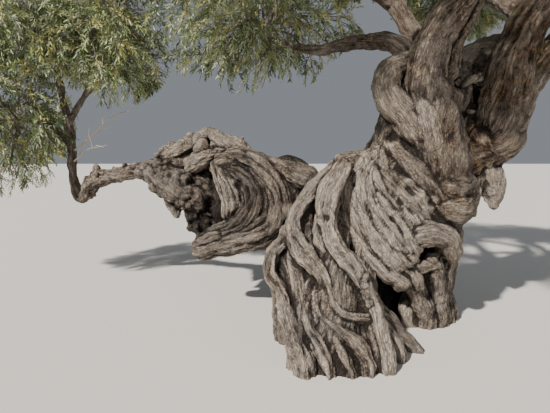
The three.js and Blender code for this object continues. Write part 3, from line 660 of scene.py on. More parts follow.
# %% The boughs
BOUGHS = {
    "left_bough": [
        [
            (640, 190, 2060, 140), (590, 190, 2200, 178), (560, 190, 2330, 184), (610, 210, 2600, 172),
            (740, 240, 2820, 165), (900, 280, 3080, 150), (980, 330, 3450, 130), (860, 350, 3950, 100),
            (640, 320, 4550, 60),
        ],
        [(760, 240, 2380, 100), (820, 270, 2660, 95), (940, 300, 2900, 105), (1040, 330, 3160, 90)],
    ],
    "right_bough": [
        [
            (1320, 400, 1840, 170), (1345, 400, 1960, 222), (1370, 400, 2150, 240),
            (1410, 420, 2420, 225), (1530, 450, 2760, 190), (1720, 480, 3080, 175),
            (1880, 520, 3450, 145), (1960, 540, 4000, 90),
        ],
    ],
    "right_side_bough": [
        [
            (1450, 410, 1960, 110), (1540, 420, 2200, 140), (1690, 430, 2460, 140),
            (1850, 450, 2660, 125), (2100, 440, 2960, 90), (2230, 400, 3250, 60),
        ],
    ],
    "right_front_bough": [
        [(1580, 420, 2820, 90), (1660, 120, 3120, 95), (1750, -350, 3450, 80), (1850, -800, 3750, 55)],
    ],
    "right_back_bough": [
        [(1600, 560, 2960, 90), (1620, 950, 3200, 95), (1600, 1450, 3480, 60)],
    ],
    "dead_limb": [
        [(960, 640, 2300, 120), (1080, 720, 2560, 125), (1280, 800, 2700, 100), (1540, 860, 2820, 80)],
    ],
    "back_left_bough": [
        [
            (640, 430, 2340, 120), (520, 540, 2600, 110), (380, 640, 2730, 95), (100, 790, 2790, 80),
            (-300, 920, 2740, 60), (-560, 1050, 2790, 48),
        ],
    ],
    "back_bough": [
        [
            (820, 560, 2240, 150), (760, 760, 2620, 130), (560, 1050, 3150, 105), (350, 1350, 3600, 80),
            (200, 1600, 3950, 60),
        ],
    ],
    "far_left_bough": [
        [(520, 1100, 3230, 80), (0, 1180, 3600, 80), (-700, 1300, 3900, 65), (-1300, 1400, 4050, 50)],
    ],
    "front_bough": [
        [(900, 280, 3060, 90), (760, -100, 3400, 95), (500, -650, 3800, 80), (300, -1150, 4050, 55)],
    ],
    "front_left_bough": [
        [(940, 320, 3280, 80), (520, 150, 3520, 85), (-150, -250, 3800, 70), (-900, -650, 3980, 50)],
    ],
    "upper_left_bough": [
        [(940, 340, 3650, 75), (500, 380, 4050, 75), (-100, 420, 4400, 60), (-450, 420, 4580, 50)],
    ],
    "left_stem": [
        [
            (-3110, 1670, 1190, 60), (-3230, 1740, 1120, 70), (-3310, 1750, 1300, 62),
            (-3320, 1750, 1800, 56), (-3380, 1720, 2350, 46), (-3420, 1680, 2700, 38),
        ],
    ],
    "left_hanging_stem": [
        [(-3320, 1740, 1750, 40), (-3480, 1700, 1980, 38), (-3700, 1640, 2080, 30)],
    ],
    "left_inner_stem": [
        [(-3340, 1740, 2050, 40), (-3080, 1680, 2400, 38), (-2850, 1600, 2600, 30)],
    ],
}
BOUGH_FINISH = {
    "left_bough": {"strands": 0, "brown": 0.3, "tone": 0.0},
    "right_bough": {"strands": 7, "brown": 1.0, "tone": 0.0},
    "right_side_bough": {"strands": 4, "brown": 1.0, "tone": 0.0},
    # The dead limb's high tone: pale bleached wood, and painted light that makes it look sunlit
    "dead_limb": {"strands": 5, "brown": 0.0, "tone": 1.2},
}
# The lesser boughs' dark tone is painted shade
LESSER_FINISH = {"strands": 3, "brown": 0.6, "tone": -0.3}  # of all the other boughs


def bough_folds(name):
    finish = BOUGH_FINISH.get(name, LESSER_FINISH)
    return [Fold(stations, twist=0.3, flute=0.35, **finish) for stations in BOUGHS[name]]


WOOD = {"trunk": COLUMN + FOOT, "leaning_trunk": LEANING, "left_limb": LIMB}
WOOD.update({name: bough_folds(name) for name in BOUGHS})
print("pieces of wood:", len(WOOD), "folds:", sum(len(folds) for folds in WOOD.values()))

# %% [markdown]
# ## Ropes round each fold
# Seen close, a fold is itself fluted. Thinner strands wind slowly round it, and swell and shrink as
# they go. They could be painted on, but real ridges catch the light from every side, so they are
# modelled: one curve object holds a spline for each fold and strand, and a round bevel turns them
# into capped tubes.

# %% Ropes round each fold
STRAND_OUT = 0.67  # how far out a strand's middle lies, in parts of the fold's radius
STRAND_SIZE = 0.30
CORE_SIZE = 0.93  # the tube that the strands lie on
FLUTE_HEIGHT = 0.20
STRAND_WANDER = 0.7  # in radians
STRAND_SWELL = 0.35
SWELL_OUT = 0.12
WANDERS = (1.6, 5.3, 0)  # how many in a metre, and shifts that keep strands from being alike
SWELLS = (2.6, 3.1, 40)
FIRST_SEED, SEED_GAP = 0.4, 1.7  # from fold to fold
TUBE_RESOLUTION = 2


def slow_noise(fold, strand, seed, pace):
    often, strand_shift, seed_shift = pace
    aside, shift = strand * strand_shift, seed + seed_shift
    return np.array([noise.noise((run * often, aside, shift)) for run in fold.run])


def strand_paths(fold, seed):
    paths = []
    for i in range(fold.strands):
        wander, swell = slow_noise(fold, i, seed, WANDERS), slow_noise(fold, i, seed, SWELLS)
        turn = 2 * math.pi * i / fold.strands + seed
        angle = turn + fold.twist * fold.run / TWIST_RUN + STRAND_WANDER * wander
        out = (STRAND_OUT + FLUTE_HEIGHT * fold.flute + SWELL_OUT * swell) * fold.radii
        place = fold.centres + (out * np.cos(angle))[:, None] * fold.side
        place = place + (out * np.sin(angle))[:, None] * fold.other
        paths.append(np.column_stack((place, STRAND_SIZE * fold.radii * (1 + STRAND_SWELL * swell))))
    return paths


def draw_tubes(name, paths):
    """A mesh of capped tubes: x, y, z and radius at each place of each path"""
    bpy.ops.object.select_all(action="DESELECT")
    bpy.ops.curve.primitive_nurbs_path_add()
    drawn = bpy.context.object
    drawn.name = name
    drawn.data.splines.clear()
    for path in paths:
        line = drawn.data.splines.new("POLY")
        line.points.add(len(path) - 1)
        line.points.foreach_set("co", np.column_stack((path[:, :3], np.ones(len(path)))).ravel())
        line.points.foreach_set("radius", path[:, 3])
    drawn.data.bevel_depth = 1.0
    drawn.data.bevel_resolution = TUBE_RESOLUTION
    drawn.data.use_fill_caps = True
    bpy.ops.object.convert(target="MESH")
    return bpy.context.object


def bundle(name, folds):
    paths = []
    for i, fold in enumerate(folds):
        paths.append(fold.path(CORE_SIZE if fold.strands else 1.0))
        paths.extend(strand_paths(fold, SEED_GAP * i + FIRST_SEED))
    return draw_tubes(name, paths)


print("strands round the folds of the trunk:", sum(fold.strands for fold in WOOD["trunk"]))

# %% [markdown]
# ## Grown together
# Loose tubes aren't a tree. A voxel remesh melts them into one skin, as the living wood grew over its
# own joints, and a few rounds of smoothing take the steps out of it. What the remesh leaves inside as
# sealed bubbles is deleted, so one closed body stays.


# %% Grown together
def pick(piece):
    """Makes one piece the only one that the next steps work on"""
    bpy.ops.object.select_all(action="DESELECT")
    piece.select_set(True)
    bpy.context.view_layer.objects.active = piece


def apply_modifier(piece, kind, **values):
    pick(piece)
    modifier = piece.modifiers.new(kind.lower(), kind)
    for key, value in values.items():
        setattr(modifier, key, value)
    bpy.ops.object.modifier_apply(modifier=modifier.name)


def keep_outer_skin(piece):
    """Deletes all that doesn't hang together with the vertex that lies furthest right"""
    mesh = piece.data
    places = np.empty(len(mesh.vertices) * 3)
    mesh.vertices.foreach_get("co", places)
    outermost = int(np.argmax(places[0::3]))
    pick(piece)
    bpy.ops.object.mode_set(mode="EDIT")
    bpy.ops.mesh.select_mode(type="VERT")
    bpy.ops.mesh.select_all(action="DESELECT")
    bpy.ops.object.mode_set(mode="OBJECT")
    mesh.vertices[outermost].select = True
    bpy.ops.object.mode_set(mode="EDIT")
    bpy.ops.mesh.select_linked()
    bpy.ops.mesh.select_all(action="INVERT")
    bpy.ops.mesh.delete(type="VERT")
    bpy.ops.object.mode_set(mode="OBJECT")


def grow_together(piece, voxel, rounds):
    apply_modifier(piece, "REMESH", mode="VOXEL", voxel_size=voxel)
    keep_outer_skin(piece)
    apply_modifier(piece, "SMOOTH", factor=0.5, iterations=rounds)
    print(piece.name, "grown together, points:", len(piece.data.vertices))


# %% [markdown]
# ## Bark relief
# Grooves in bark run along the wood, so noise in plain x, y, z would look like stone. Each point of
# the skin finds the fold it belongs to, and reads how far along and how far round that fold it lies.
# In this straightened wood the noise is stretched along the grain: its folded valleys are fissures.
# Modifiers can't read these directions, so this step moves the points by arrays.


# %% Where each point lies on the wood
FOLD_REACH = 0.45  # points further than this from a fold's middle line don't belong to it
FAR_OFF = 9.0
GRAIN_SHIFT = (3.1, 1.7, 2.3)  # from fold to fold, so that no two have the same bark


class Place:
    """For each point of a skin: its fold, how far along and round it, and how deep in a crease"""

    def __init__(self, points, folds):
        count = len(points)
        self.gap, self.next_gap = np.full(count, FAR_OFF), np.full(count, FAR_OFF)
        self.look = np.zeros((count, len(PLAIN)))
        self.grain = np.zeros((count, 3))
        for i, fold in enumerate(folds):
            low, high = fold.centres.min(0) - FOLD_REACH, fold.centres.max(0) + FOLD_REACH
            near = np.nonzero(np.all((points > low) & (points < high), axis=1))[0]
            if len(near):
                self.compare(near, points[near], fold, i)

    def compare(self, near, points, fold, i):
        squared = (points**2).sum(1)[:, None] + (fold.centres**2).sum(1) - 2 * points @ fold.centres.T
        gaps = np.sqrt(np.maximum(squared, 0)) - fold.radii
        at = gaps.argmin(1)
        gap = gaps[np.arange(len(near)), at]
        closer = gap < self.gap[near]
        self.next_gap[near] = np.where(closer, self.gap[near], np.minimum(self.next_gap[near], gap))
        near, at, gap, points = near[closer], at[closer], gap[closer], points[closer]
        off = points - fold.centres[at]
        run = fold.run[at] + (off * fold.along[at]).sum(1)
        angle = np.arctan2((off * fold.other[at]).sum(1), (off * fold.side[at]).sum(1))
        angle = angle - fold.twist * run / TWIST_RUN
        radius = fold.radii[at]
        self.gap[near] = gap
        self.look[near] = fold.look
        self.grain[near] = np.column_stack((run, radius * np.cos(angle), radius * np.sin(angle)))
        self.grain[near] += np.array(GRAIN_SHIFT) * i


def noise_at(points):
    return np.array([noise.noise(point) for point in points.tolist()])


# %% [markdown]
# Three sizes of ridges run along the grain, from wrinkles as long as a forearm down to threads. Lumps,
# dents and pits lie over them, and a few knot holes. A crease is pressed in where two folds meet, and
# the most rotten wood has hardly any ridges left.

# %% Bark relief
WRINKLE = (0.40, 0.060, 0.022, 0.0)  # how long, wide and deep, and where its noise is read
FISSURE = (0.22, 0.034, 0.018, 9.0)
THREAD = (0.12, 0.022, 0.009, 5.0)
RIDGE_TOP = 0.45  # the noise is cut off above this, so that ridges are broad and valleys narrow
SKIN_LEVEL = 0.2  # and this much of it lies below the smooth skin
TOO_ROTTEN = 2.4  # wood as rough as this has hardly any grooves left
LUMPS = (0.19, 0.020, 0.0)  # how wide and high, and where their noise is read
DENTS = (0.075, 0.009, 4.0)
GRAINS = (0.034, 0.010, 2.0)
PITS = (0.030, 0.007, 7.0)
PIT_STRETCH = (0.5, 1.0, 1.0)
CREASE_WIDTH = 0.016
CREASE_DEPTH = 0.012
KNOT_HOLES = (  # x, y, z and radius, in millimetres
    (245, 140, 1800, 40),
    (425, -5, 1350, 50),
    (590, 0, 1230, 30),
    (250, 0, 1100, 30),
    (-350, -190, 1130, 30),
    (-1110, 462, 1370, 38),
)
KNOT_DEPTH = 0.9  # in parts of its radius
KNOT_RIM = (0.35, 1.9, 3)  # how high it swells round the hole, how far out, and how steeply


def along_grain(place, size):
    """Ridges with narrow valleys between them, stretched along the wood"""
    length, width, depth, shift = size
    stretched = place.grain * np.array((1 / length, 1 / width, 1 / width)) + shift
    return depth * (np.minimum(np.abs(noise_at(stretched)), RIDGE_TOP) - SKIN_LEVEL)


def bumps(points, size):
    """Soft bumps that are as long as they are wide"""
    width, height, shift = size
    return height * noise_at(points / width + shift)


def knots(points):
    """Round holes in the wood, each with a swollen rim"""
    rim, rim_out, steepness = KNOT_RIM
    height = np.zeros(len(points))
    for x, y, z, radius in KNOT_HOLES:
        off = np.linalg.norm(points - np.array((x, y, z)) * MM, axis=1) / (radius * MM)
        swelling = rim * np.exp(-((off - rim_out) ** 2) * steepness)
        height += radius * MM * (swelling - KNOT_DEPTH * np.exp(-(off**2)))
    return height


def bark_height(points, place, rough, furrow, seam):
    """How far each point rises over the smooth skin"""
    height = furrow * (along_grain(place, WRINKLE) + along_grain(place, FISSURE))
    height += along_grain(place, THREAD)
    height *= np.clip(rough, 0.3, 1.0) * np.clip(TOO_ROTTEN - rough, 0.15, 1.0)
    height += bumps(points, LUMPS) * np.clip(rough, 0.7, 1.6)
    height += bumps(points, DENTS) * rough
    height += bumps(points, GRAINS) * np.clip(rough - 1.0, 0.0, 1.2)
    height += bumps(place.grain * np.array(PIT_STRETCH), PITS)
    height += knots(points)
    crease = np.exp(-(((place.next_gap - place.gap) / CREASE_WIDTH) ** 2))
    return height - CREASE_DEPTH * crease * seam


# %% [markdown]
# The paint will need to know what is a groove, where it paints shade, and what is a ridge. Each point is set
# against the mean of its neighbours, after a few rounds for narrow grooves and after many for wide ones.

# %% How hollow the skin is
HOLLOWS = ((8, 0.012), (34, 0.030))  # rounds of smoothing, and how deep a full groove is after them


def neighbour_mean(values, edges, count):
    """The values of each vertex, averaged over the vertices next to it"""
    total, met = np.zeros_like(values), np.zeros(count)
    for near, far in ((edges[:, 0], edges[:, 1]), (edges[:, 1], edges[:, 0])):
        met += np.bincount(near, minlength=count)
        for axis in range(values.shape[1]):
            total[:, axis] += np.bincount(near, weights=values[far, axis], minlength=count)
    return total / np.maximum(met, 1)[:, None]


def hollowness(edges, points, normals):
    """0 on a plain, below it on a ridge, up to 1 in a groove, from two sizes of smoothing"""
    smooth, total = points.copy(), np.zeros(len(points))
    for rounds, full_depth in HOLLOWS:
        for _ in range(rounds):
            smooth = neighbour_mean(smooth, edges, len(points))
        depth = ((smooth - points) * normals).sum(1)
        total += np.clip(depth / full_depth, -1, 1) / len(HOLLOWS)
    return total


# %% [markdown]
# Where two folds meet, their finishes are smoothed into each other, the colours more than the relief.
# What the paint needs later is kept on the mesh as attributes.

# %% Relief on a piece
LOOK_ROUNDS = 9
COLOUR_ROUNDS = 24


def mesh_arrays(mesh):
    points, normals = np.empty(len(mesh.vertices) * 3), np.empty(len(mesh.vertices) * 3)
    mesh.vertices.foreach_get("co", points)
    mesh.vertex_normals.foreach_get("vector", normals)
    return points.reshape(-1, 3), normals.reshape(-1, 3)


def add_relief(piece, folds):
    mesh = piece.data
    points, normals = mesh_arrays(mesh)
    edges = np.empty(len(mesh.edges) * 2, int)
    mesh.edges.foreach_get("vertices", edges)
    edges = edges.reshape(-1, 2)
    place = Place(points, folds)
    look = place.look
    for _ in range(LOOK_ROUNDS):
        look = neighbour_mean(look, edges, len(points))
    height = bark_height(points, place, *look[:, 2:].T)
    print(f"{piece.name}: relief from {height.min() / MM:.0f} to {height.max() / MM:.0f} mm")
    points += normals * height[:, None]
    mesh.vertices.foreach_set("co", points.ravel())
    mesh.update()
    points, normals = mesh_arrays(mesh)
    colour = look[:, :2]
    for _ in range(COLOUR_ROUNDS):
        colour = neighbour_mean(colour, edges, len(points))
    values = {"hollow": hollowness(edges, points, normals), "tone": colour[:, 0], "brown": colour[:, 1]}
    for name, value in values.items():
        mesh.attributes.new(name, "FLOAT", "POINT").data.foreach_set("value", value)
    grain = mesh.attributes.new("grain", "FLOAT_VECTOR", "POINT")
    grain.data.foreach_set("vector", place.grain.ravel())


# %% [markdown]
# ## The flat cut
# The roots run on a little below the ground, and one bisect cuts them off level, with the cut filled.


# %% The flat cut
def cut_at_ground(piece):
    pick(piece)
    bpy.ops.object.mode_set(mode="EDIT")
    bpy.ops.mesh.select_all(action="SELECT")
    bpy.ops.mesh.bisect(plane_co=(0, 0, GROUND), plane_no=(0, 0, -1), use_fill=True, clear_outer=True)
    bpy.ops.object.mode_set(mode="OBJECT")
    print(piece.name, "cut level at", GROUND)


# %% [markdown]
# ## All the wood
# Every piece of wood goes through the same steps, each with its own fineness of skin. The great
# pieces have the finest skin that keeps them under the most triangles a piece may have.

# %% All the wood
BODIES = {  # piece: the node it replaces, its folds, how fine its skin is, and how often it is smoothed
    "trunk_wood": ("trunk", COLUMN, 0.0153, 7),
    "buttress_wood": ("trunk", FOOT, 0.0122, 6),
    "leaning_trunk_wood": ("leaning_trunk", LEANING, 0.0128, 3),
    "left_limb_wood": ("left_limb", LIMB, 0.010, 6),
}
GREAT_BOUGHS = ("left_bough", "right_bough", "dead_limb")
GREAT_SKIN, LESSER_SKIN = 0.0105, 0.0128
BOUGH_ROUNDS = 4
for name in BOUGHS:
    skin = GREAT_SKIN if name in GREAT_BOUGHS else LESSER_SKIN
    BODIES[name + "_wood"] = (name, WOOD[name], skin, BOUGH_ROUNDS)


def make_wood(name, node, folds, voxel, rounds):
    piece = bundle(name, folds)
    grow_together(piece, voxel, rounds)
    add_relief(piece, folds)
    if node == "trunk":
        cut_at_ground(piece)
    bpy.ops.object.shade_smooth()
    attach(piece, "root")
    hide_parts(node)
    triangles = sum(len(face.vertices) - 2 for face in piece.data.polygons)
    print(piece.name, "triangles:", triangles)
    return piece


wood = {name: make_wood(name, *body) for name, body in BODIES.items()}

# %% [markdown]
# ## Bark and bare wood
# Weathered olive wood is grey, with fine dark streaks along the grain and pale worn ridges, and its grooves
# are darkened nearly to black as painted shade. The streaks read the grain attribute, so they follow each
# fold as it winds, and the painted shade reads how hollow the skin is. Large soft patches keep two folds from
# having quite the same colour.
# The younger bark of the great boughs is browner, with yellow-green lichen.


# %% A hand for nodes
def opaque(colour):
    """A colour of three numbers with a fourth for full cover, or a node's output as it is"""
    return (*colour, 1) if isinstance(colour, tuple) else colour


class Paint:
    """A node material that is written as a short list of steps"""

    def __init__(self, name):
        self.material = bpy.data.materials.new(name)
        self.material.use_nodes = True
        self.tree = self.material.node_tree
        self.surface = self.tree.nodes["Principled BSDF"]

    def add(self, kind, inputs=None, output=0, **settings):
        step = self.tree.nodes.new("ShaderNode" + kind)
        for key, value in settings.items():
            setattr(step, key, value)
        for key, value in (inputs or {}).items():
            self.plug(step.inputs[key], value)
        return step.outputs[output]

    def plug(self, socket, value):
        if isinstance(value, bpy.types.NodeSocket):
            self.tree.links.new(value, socket)
        else:
            socket.default_value = value

    def attribute(self, name, output="Fac"):
        return self.add("Attribute", attribute_name=name, output=output)

    def ramp(self, value, stops):
        step = self.tree.nodes.new("ShaderNodeValToRGB")
        self.plug(step.inputs[0], value)
        while len(step.color_ramp.elements) < len(stops):
            step.color_ramp.elements.new(0.5)
        for element, (at, colour) in zip(step.color_ramp.elements, stops):
            element.position = at
            element.color = (*colour, 1)
        return step.outputs[0]

    def blend(self, share, first, second):
        inputs = {"Fac": share, "Color1": opaque(first), "Color2": opaque(second)}
        return self.add("MixRGB", inputs)

    def cover(self, base, colour, share, strength):
        """Lays a colour over the base where share says, and only as strongly as strength says"""
        return self.blend(self.calculate("MULTIPLY", share, strength), base, colour)

    def calculate(self, operation, first, second=0.0):
        return self.add("Math", {0: first, 1: second}, operation=operation)

    def noise(self, vector, scale, detail=3.0, roughness=0.55):
        inputs = {"Vector": vector, "Scale": scale, "Detail": detail, "Roughness": roughness}
        return self.add("TexNoise", inputs)

    def finish(self, colour, roughness, shine=0.5):
        """The colour, roughness and shine of the surface"""
        self.plug(self.surface.inputs["Base Color"], opaque(colour))
        self.surface.inputs["Roughness"].default_value = roughness
        self.surface.inputs["Specular IOR Level"].default_value = shine


# %% Colours, cracks and patches
OLD_BARK = ((0.40, (0.034, 0.024, 0.018)), (0.50, (0.145, 0.113, 0.088)), (0.60, (0.440, 0.358, 0.285)))
YOUNG_BARK = ((0.40, (0.026, 0.012, 0.006)), (0.50, (0.112, 0.058, 0.028)), (0.60, (0.330, 0.188, 0.096)))
# Near black: dark cracks and patches in the bark, and painted shade in its grooves and hollows
DARK_BARK_AND_SHADE = (0.010, 0.006, 0.005)
WORN = (0.430, 0.362, 0.296)
# Laid on where the tone is above 0: pale bleached wood, and painted light on the dead limb
BLEACHED_AND_LIGHT = (0.560, 0.484, 0.400)
# Laid on where the tone is below 0: dark rotten wood, and painted shade on folds that stood in shade
ROT_AND_SHADE = (0.013, 0.010, 0.009)
SILVER = (0.225, 0.208, 0.198)
LICHEN = (0.290, 0.270, 0.090)
BLACK = (0.0, 0.0, 0.0)
WHITE = (1.0, 1.0, 1.0)
STREAK = (0.06, 0.008)  # how long and how wide
CRACK = (0.24, 0.030)
SMALL_CRACK = (0.09, 0.013)
PLATE = (0.085, 0.030)
CRACK_EDGE, SMALL_CRACK_EDGE, PLATE_EDGE = 0.045, 0.050, 0.16
STREAKS = (1.0, 4.0)  # noise: how many in a metre, or in one stretched step, its detail, its roughness
SPECKLES = (55.0, 3.0, 0.75)
LICHENS = (9.0, 5.0, 0.7)
SPECKLE_SHARE = 0.62
WANDERS_IN_METRE, WANDER_DETAIL, WANDER_REACH = 9.0, 2.0, 0.035
WEATHER = (  # patches: how many in a metre, their detail, their edge, how strong they are, their colour
    (2.6, 4.0, ((0.42, BLACK), (0.60, WHITE)), 0.5, SILVER),
    (4.3, 3.0, ((0.50, BLACK), (0.62, WHITE)), 0.42, WORN),
    (3.3, 3.0, ((0.38, WHITE), (0.52, BLACK)), 0.45, DARK_BARK_AND_SHADE),
)
LICHEN_EDGE = ((0.55, BLACK), (0.65, WHITE))
# Where the painted shade in the grooves begins and where it is full, by how hollow the skin is
GROOVE_SHADE_EDGE = ((0.03, BLACK), (0.46, WHITE))
STRENGTHS = {  # how strongly each one covers what lies under it
    # bleached and rotten: how strongly the tone lays on pale wood and painted light, and dark wood and
    # painted shade
    "lichen": 0.35, "bleached_and_painted_light": 0.8, "worn": 0.85, "rot_and_painted_shade": 0.95,
    # grooves: how strongly the painted shade darkens the grooves
    "small_cracks": 0.6, "plates": 0.55, "cracks": 0.62, "groove_shade": 0.88,
}
print("kinds of weathering:", len(WEATHER))

# %% [markdown]
# Each layer is a function of its own: cracks that wind along the grain, the edges of small plates, the
# weathered bark, and what age has done to it, together with the painted light and shade that the tone lays
# on.


# %% The layers of the bark
def stretched(paint, grain, size):
    length, width = size
    return paint.add("VectorMath", {0: grain, 1: (1 / length, 1 / width, 1 / width)}, operation="MULTIPLY")


def cracks_in(paint, grain, size, width):
    """1 in narrow winding cracks along the grain, 0 elsewhere"""
    level = paint.noise(stretched(paint, grain, size), 1.0, 2.0)
    off = paint.calculate("ABSOLUTE", paint.calculate("SUBTRACT", level, 0.5))
    return paint.ramp(off, ((0.0, WHITE), (width, BLACK)))


def plate_edges(paint, grain):
    """1 along the edges of small plates of bark"""
    vector = stretched(paint, grain, PLATE)
    edge = paint.add("TexVoronoi", {"Vector": vector, "Scale": 1.0}, feature="DISTANCE_TO_EDGE")
    return paint.ramp(edge, ((0.0, WHITE), (PLATE_EDGE, BLACK)))


def wandering_grain(paint, place):
    """The grain, bent a little so that no streak is quite straight"""
    inputs = {"Vector": place, "Scale": WANDERS_IN_METRE, "Detail": WANDER_DETAIL}
    wander = paint.add("TexNoise", inputs, output=1)
    wander = paint.add("VectorMath", {0: wander, "Scale": WANDER_REACH}, operation="SCALE")
    return paint.add("VectorMath", {0: paint.attribute("grain", "Vector"), 1: wander}, operation="ADD")


def weathered_bark(paint, place, level, brown):
    """Old and young bark, with soft patches of other colours, and lichen on the young one"""
    base = paint.blend(brown, paint.ramp(level, OLD_BARK), paint.ramp(level, YOUNG_BARK))
    for scale, detail, edge, strength, colour in WEATHER:
        patch = paint.ramp(paint.noise(place, scale, detail), edge)
        base = paint.cover(base, colour, patch, strength)
    growth = paint.ramp(paint.noise(place, *LICHENS), LICHEN_EDGE)
    return paint.cover(base, LICHEN, growth, paint.calculate("MULTIPLY", brown, STRENGTHS["lichen"]))


def aged_with_painted_light_and_shade(paint, base, hollow, tone):
    """Paler above tone 0 (bleached wood, and painted light), worn on ridges, darker below it (rotten wood,
    and painted shade)
    """
    # Pale bleached wood, and painted light where a fold's tone was raised for it
    base = paint.cover(base, BLEACHED_AND_LIGHT, paint.calculate("MAXIMUM", tone, 0.0), STRENGTHS["bleached_and_painted_light"])
    ridge = paint.calculate("MULTIPLY", hollow, -STRENGTHS["worn"])
    base = paint.blend(paint.calculate("MAXIMUM", ridge, 0.0), base, WORN)
    # Dark rotten wood, and painted shade where a fold's tone was lowered for it
    rot_and_shade = paint.calculate("MULTIPLY", tone, -STRENGTHS["rot_and_painted_shade"])
    return paint.blend(paint.calculate("MAXIMUM", rot_and_shade, 0.0), base, ROT_AND_SHADE)


def all_cracks(paint, grain):
    """Wide and small cracks and the edges of plates, each kind as dark as it should be"""
    cracks = cracks_in(paint, grain, CRACK, CRACK_EDGE)
    small = cracks_in(paint, grain, SMALL_CRACK, SMALL_CRACK_EDGE)
    small = paint.calculate("MULTIPLY", small, STRENGTHS["small_cracks"])
    plates = paint.calculate("MULTIPLY", plate_edges(paint, grain), STRENGTHS["plates"])
    return paint.calculate("MAXIMUM", paint.calculate("MAXIMUM", cracks, small), plates)


# %% [markdown]
# The layers go over each other, cracks and the painted shade in the grooves last, and the cracks press into
# the surface too. The dead limb gets a paint of its own by the same steps, since its tone alone makes it
# pale, as bleached wood with painted light on it.

# %% Bark and bare wood
BARK_ROUGHNESS, BARK_SHINE = 0.86, 0.25
BUMP_DEPTH = 0.020
CRACK_BUMP = 0.6


def bark_paint(name):
    paint = Paint(name)
    place = paint.add("TexCoord", output="Object")
    hollow, tone, brown = (paint.attribute(value) for value in ("hollow", "tone", "brown"))
    grain = wandering_grain(paint, place)
    streaks = paint.noise(stretched(paint, grain, STREAK), *STREAKS)
    level = paint.blend(SPECKLE_SHARE, streaks, paint.noise(place, *SPECKLES))
    base = aged_with_painted_light_and_shade(paint, weathered_bark(paint, place, level, brown), hollow, tone)
    cracks = all_cracks(paint, grain)
    base = paint.cover(base, DARK_BARK_AND_SHADE, cracks, STRENGTHS["cracks"])
    # Painted shade: the grooves and hollows of the skin darkened nearly to black
    base = paint.cover(base, DARK_BARK_AND_SHADE, paint.ramp(hollow, GROOVE_SHADE_EDGE), STRENGTHS["groove_shade"])
    paint.finish(base, BARK_ROUGHNESS, BARK_SHINE)
    relief = paint.calculate("SUBTRACT", level, paint.calculate("MULTIPLY", cracks, CRACK_BUMP))
    bump = paint.add("Bump", {"Height": relief, "Strength": 1.0, "Distance": BUMP_DEPTH})
    paint.plug(paint.surface.inputs["Normal"], bump)
    return paint.material


bark = bark_paint("bark")
dead_wood = bark_paint("dead_wood")
for name, piece in wood.items():
    piece.data.materials.clear()
    piece.data.materials.append(dead_wood if name == "dead_limb_wood" else bark)
print("painted", len(wood), "pieces of wood")

# %% [markdown]
# ## Masses of foliage
# The crown isn't a ball of leaves. It is masses, each in its own space, with bays cut into its edge and
# little overlap with the next one, so that sky shows between them. A mass grows from one stem at its
# bough's tip. Twigs leave the stem by the golden angle and arch out, finer twigs leave those, and leafy
# shoots leave the finest and hang a little, in clumps with gaps between them. The wood gets thinner
# each time. Whatever would leave the space is tried shorter, and skipped if that doesn't help.

# %% The spaces of the masses
MASSES = {  # the bough that carries each one, its centre and its reach along x, y and z
    "foliage_top": ("left_bough", (500, 350, 5300), (1200, 1150, 900)),
    "foliage_upper_left": ("upper_left_bough", (-1100, 400, 4850), (1200, 1150, 850)),
    "foliage_front": ("front_bough", (150, -1700, 4250), (1150, 1050, 850)),
    "foliage_front_left": ("front_left_bough", (-1650, -1000, 4100), (1200, 1050, 850)),
    "foliage_back_left": ("back_left_bough", (-1000, 1250, 3150), (1300, 950, 850)),
    "foliage_back": ("back_bough", (50, 2050, 4400), (1200, 1050, 950)),
    "foliage_far_left": ("far_left_bough", (-2250, 1400, 4200), (1250, 1100, 900)),
    "foliage_right": ("right_side_bough", (2300, 350, 3750), (850, 950, 850)),
    "foliage_upper_right": ("right_bough", (1850, 600, 4800), (1150, 1100, 950)),
    "foliage_right_front": ("right_front_bough", (1850, -1300, 4050), (1000, 1000, 850)),
    "foliage_right_back": ("right_back_bough", (1550, 2000, 3800), (1050, 1000, 850)),
    "foliage_left_high": ("left_stem", (-3550, 1500, 3300), (1150, 1050, 900)),
    "foliage_left_low": ("left_hanging_stem", (-4050, 1600, 2050), (900, 900, 950)),
    "foliage_left_inner": ("left_inner_stem", (-2650, 1250, 2950), (800, 900, 800)),
}
CENTRES = {name: np.array(mass[1]) * MM for name, mass in MASSES.items()}
REACHES = {name: np.array(mass[2]) * MM for name, mass in MASSES.items()}
MASS_OVERLAP = 0.12  # in parts of a mass's reach
FULL_REACH = 0.985
SPACE_TO_WOOD = 0.012
BAY_DEPTH = 0.26  # in parts of a mass's reach
BAY_WIDTH = 0.55
THICKEST_WOOD = 0.4
AXIS_STRIDE = 2  # every second place along the wood is enough to keep clear of it


def outness(points, name):
    """How far out points are in a mass's space: 0 at its centre, 1 at its reach"""
    return np.linalg.norm((points - CENTRES[name]) / REACHES[name], axis=-1)


def in_space(points, name):
    own = outness(points, name)
    bays = noise_at(points.reshape(-1, 3) / BAY_WIDTH).reshape(own.shape)
    inside = own < FULL_REACH - BAY_DEPTH * np.clip(2 * bays, 0, 1)
    for other in MASSES:
        if other != name:
            inside &= outness(points, other) > own - MASS_OVERLAP
    return inside


wood_axis = np.vstack([fold.centres for folds in WOOD.values() for fold in folds])
wood_radius = np.concatenate([fold.radii for folds in WOOD.values() for fold in folds])


def clear_of_wood(points):
    if not len(points):
        return np.ones(0, bool)
    low, high = points.min(0) - THICKEST_WOOD, points.max(0) + THICKEST_WOOD
    near = np.all((wood_axis > low) & (wood_axis < high), axis=1)
    clear = np.ones(len(points), bool)
    for axis, radius in zip(wood_axis[near][::AXIS_STRIDE], wood_radius[near][::AXIS_STRIDE]):
        clear &= ((points - axis) ** 2).sum(1) > (radius + SPACE_TO_WOOD) ** 2
    return clear


print("masses of foliage:", len(MASSES))

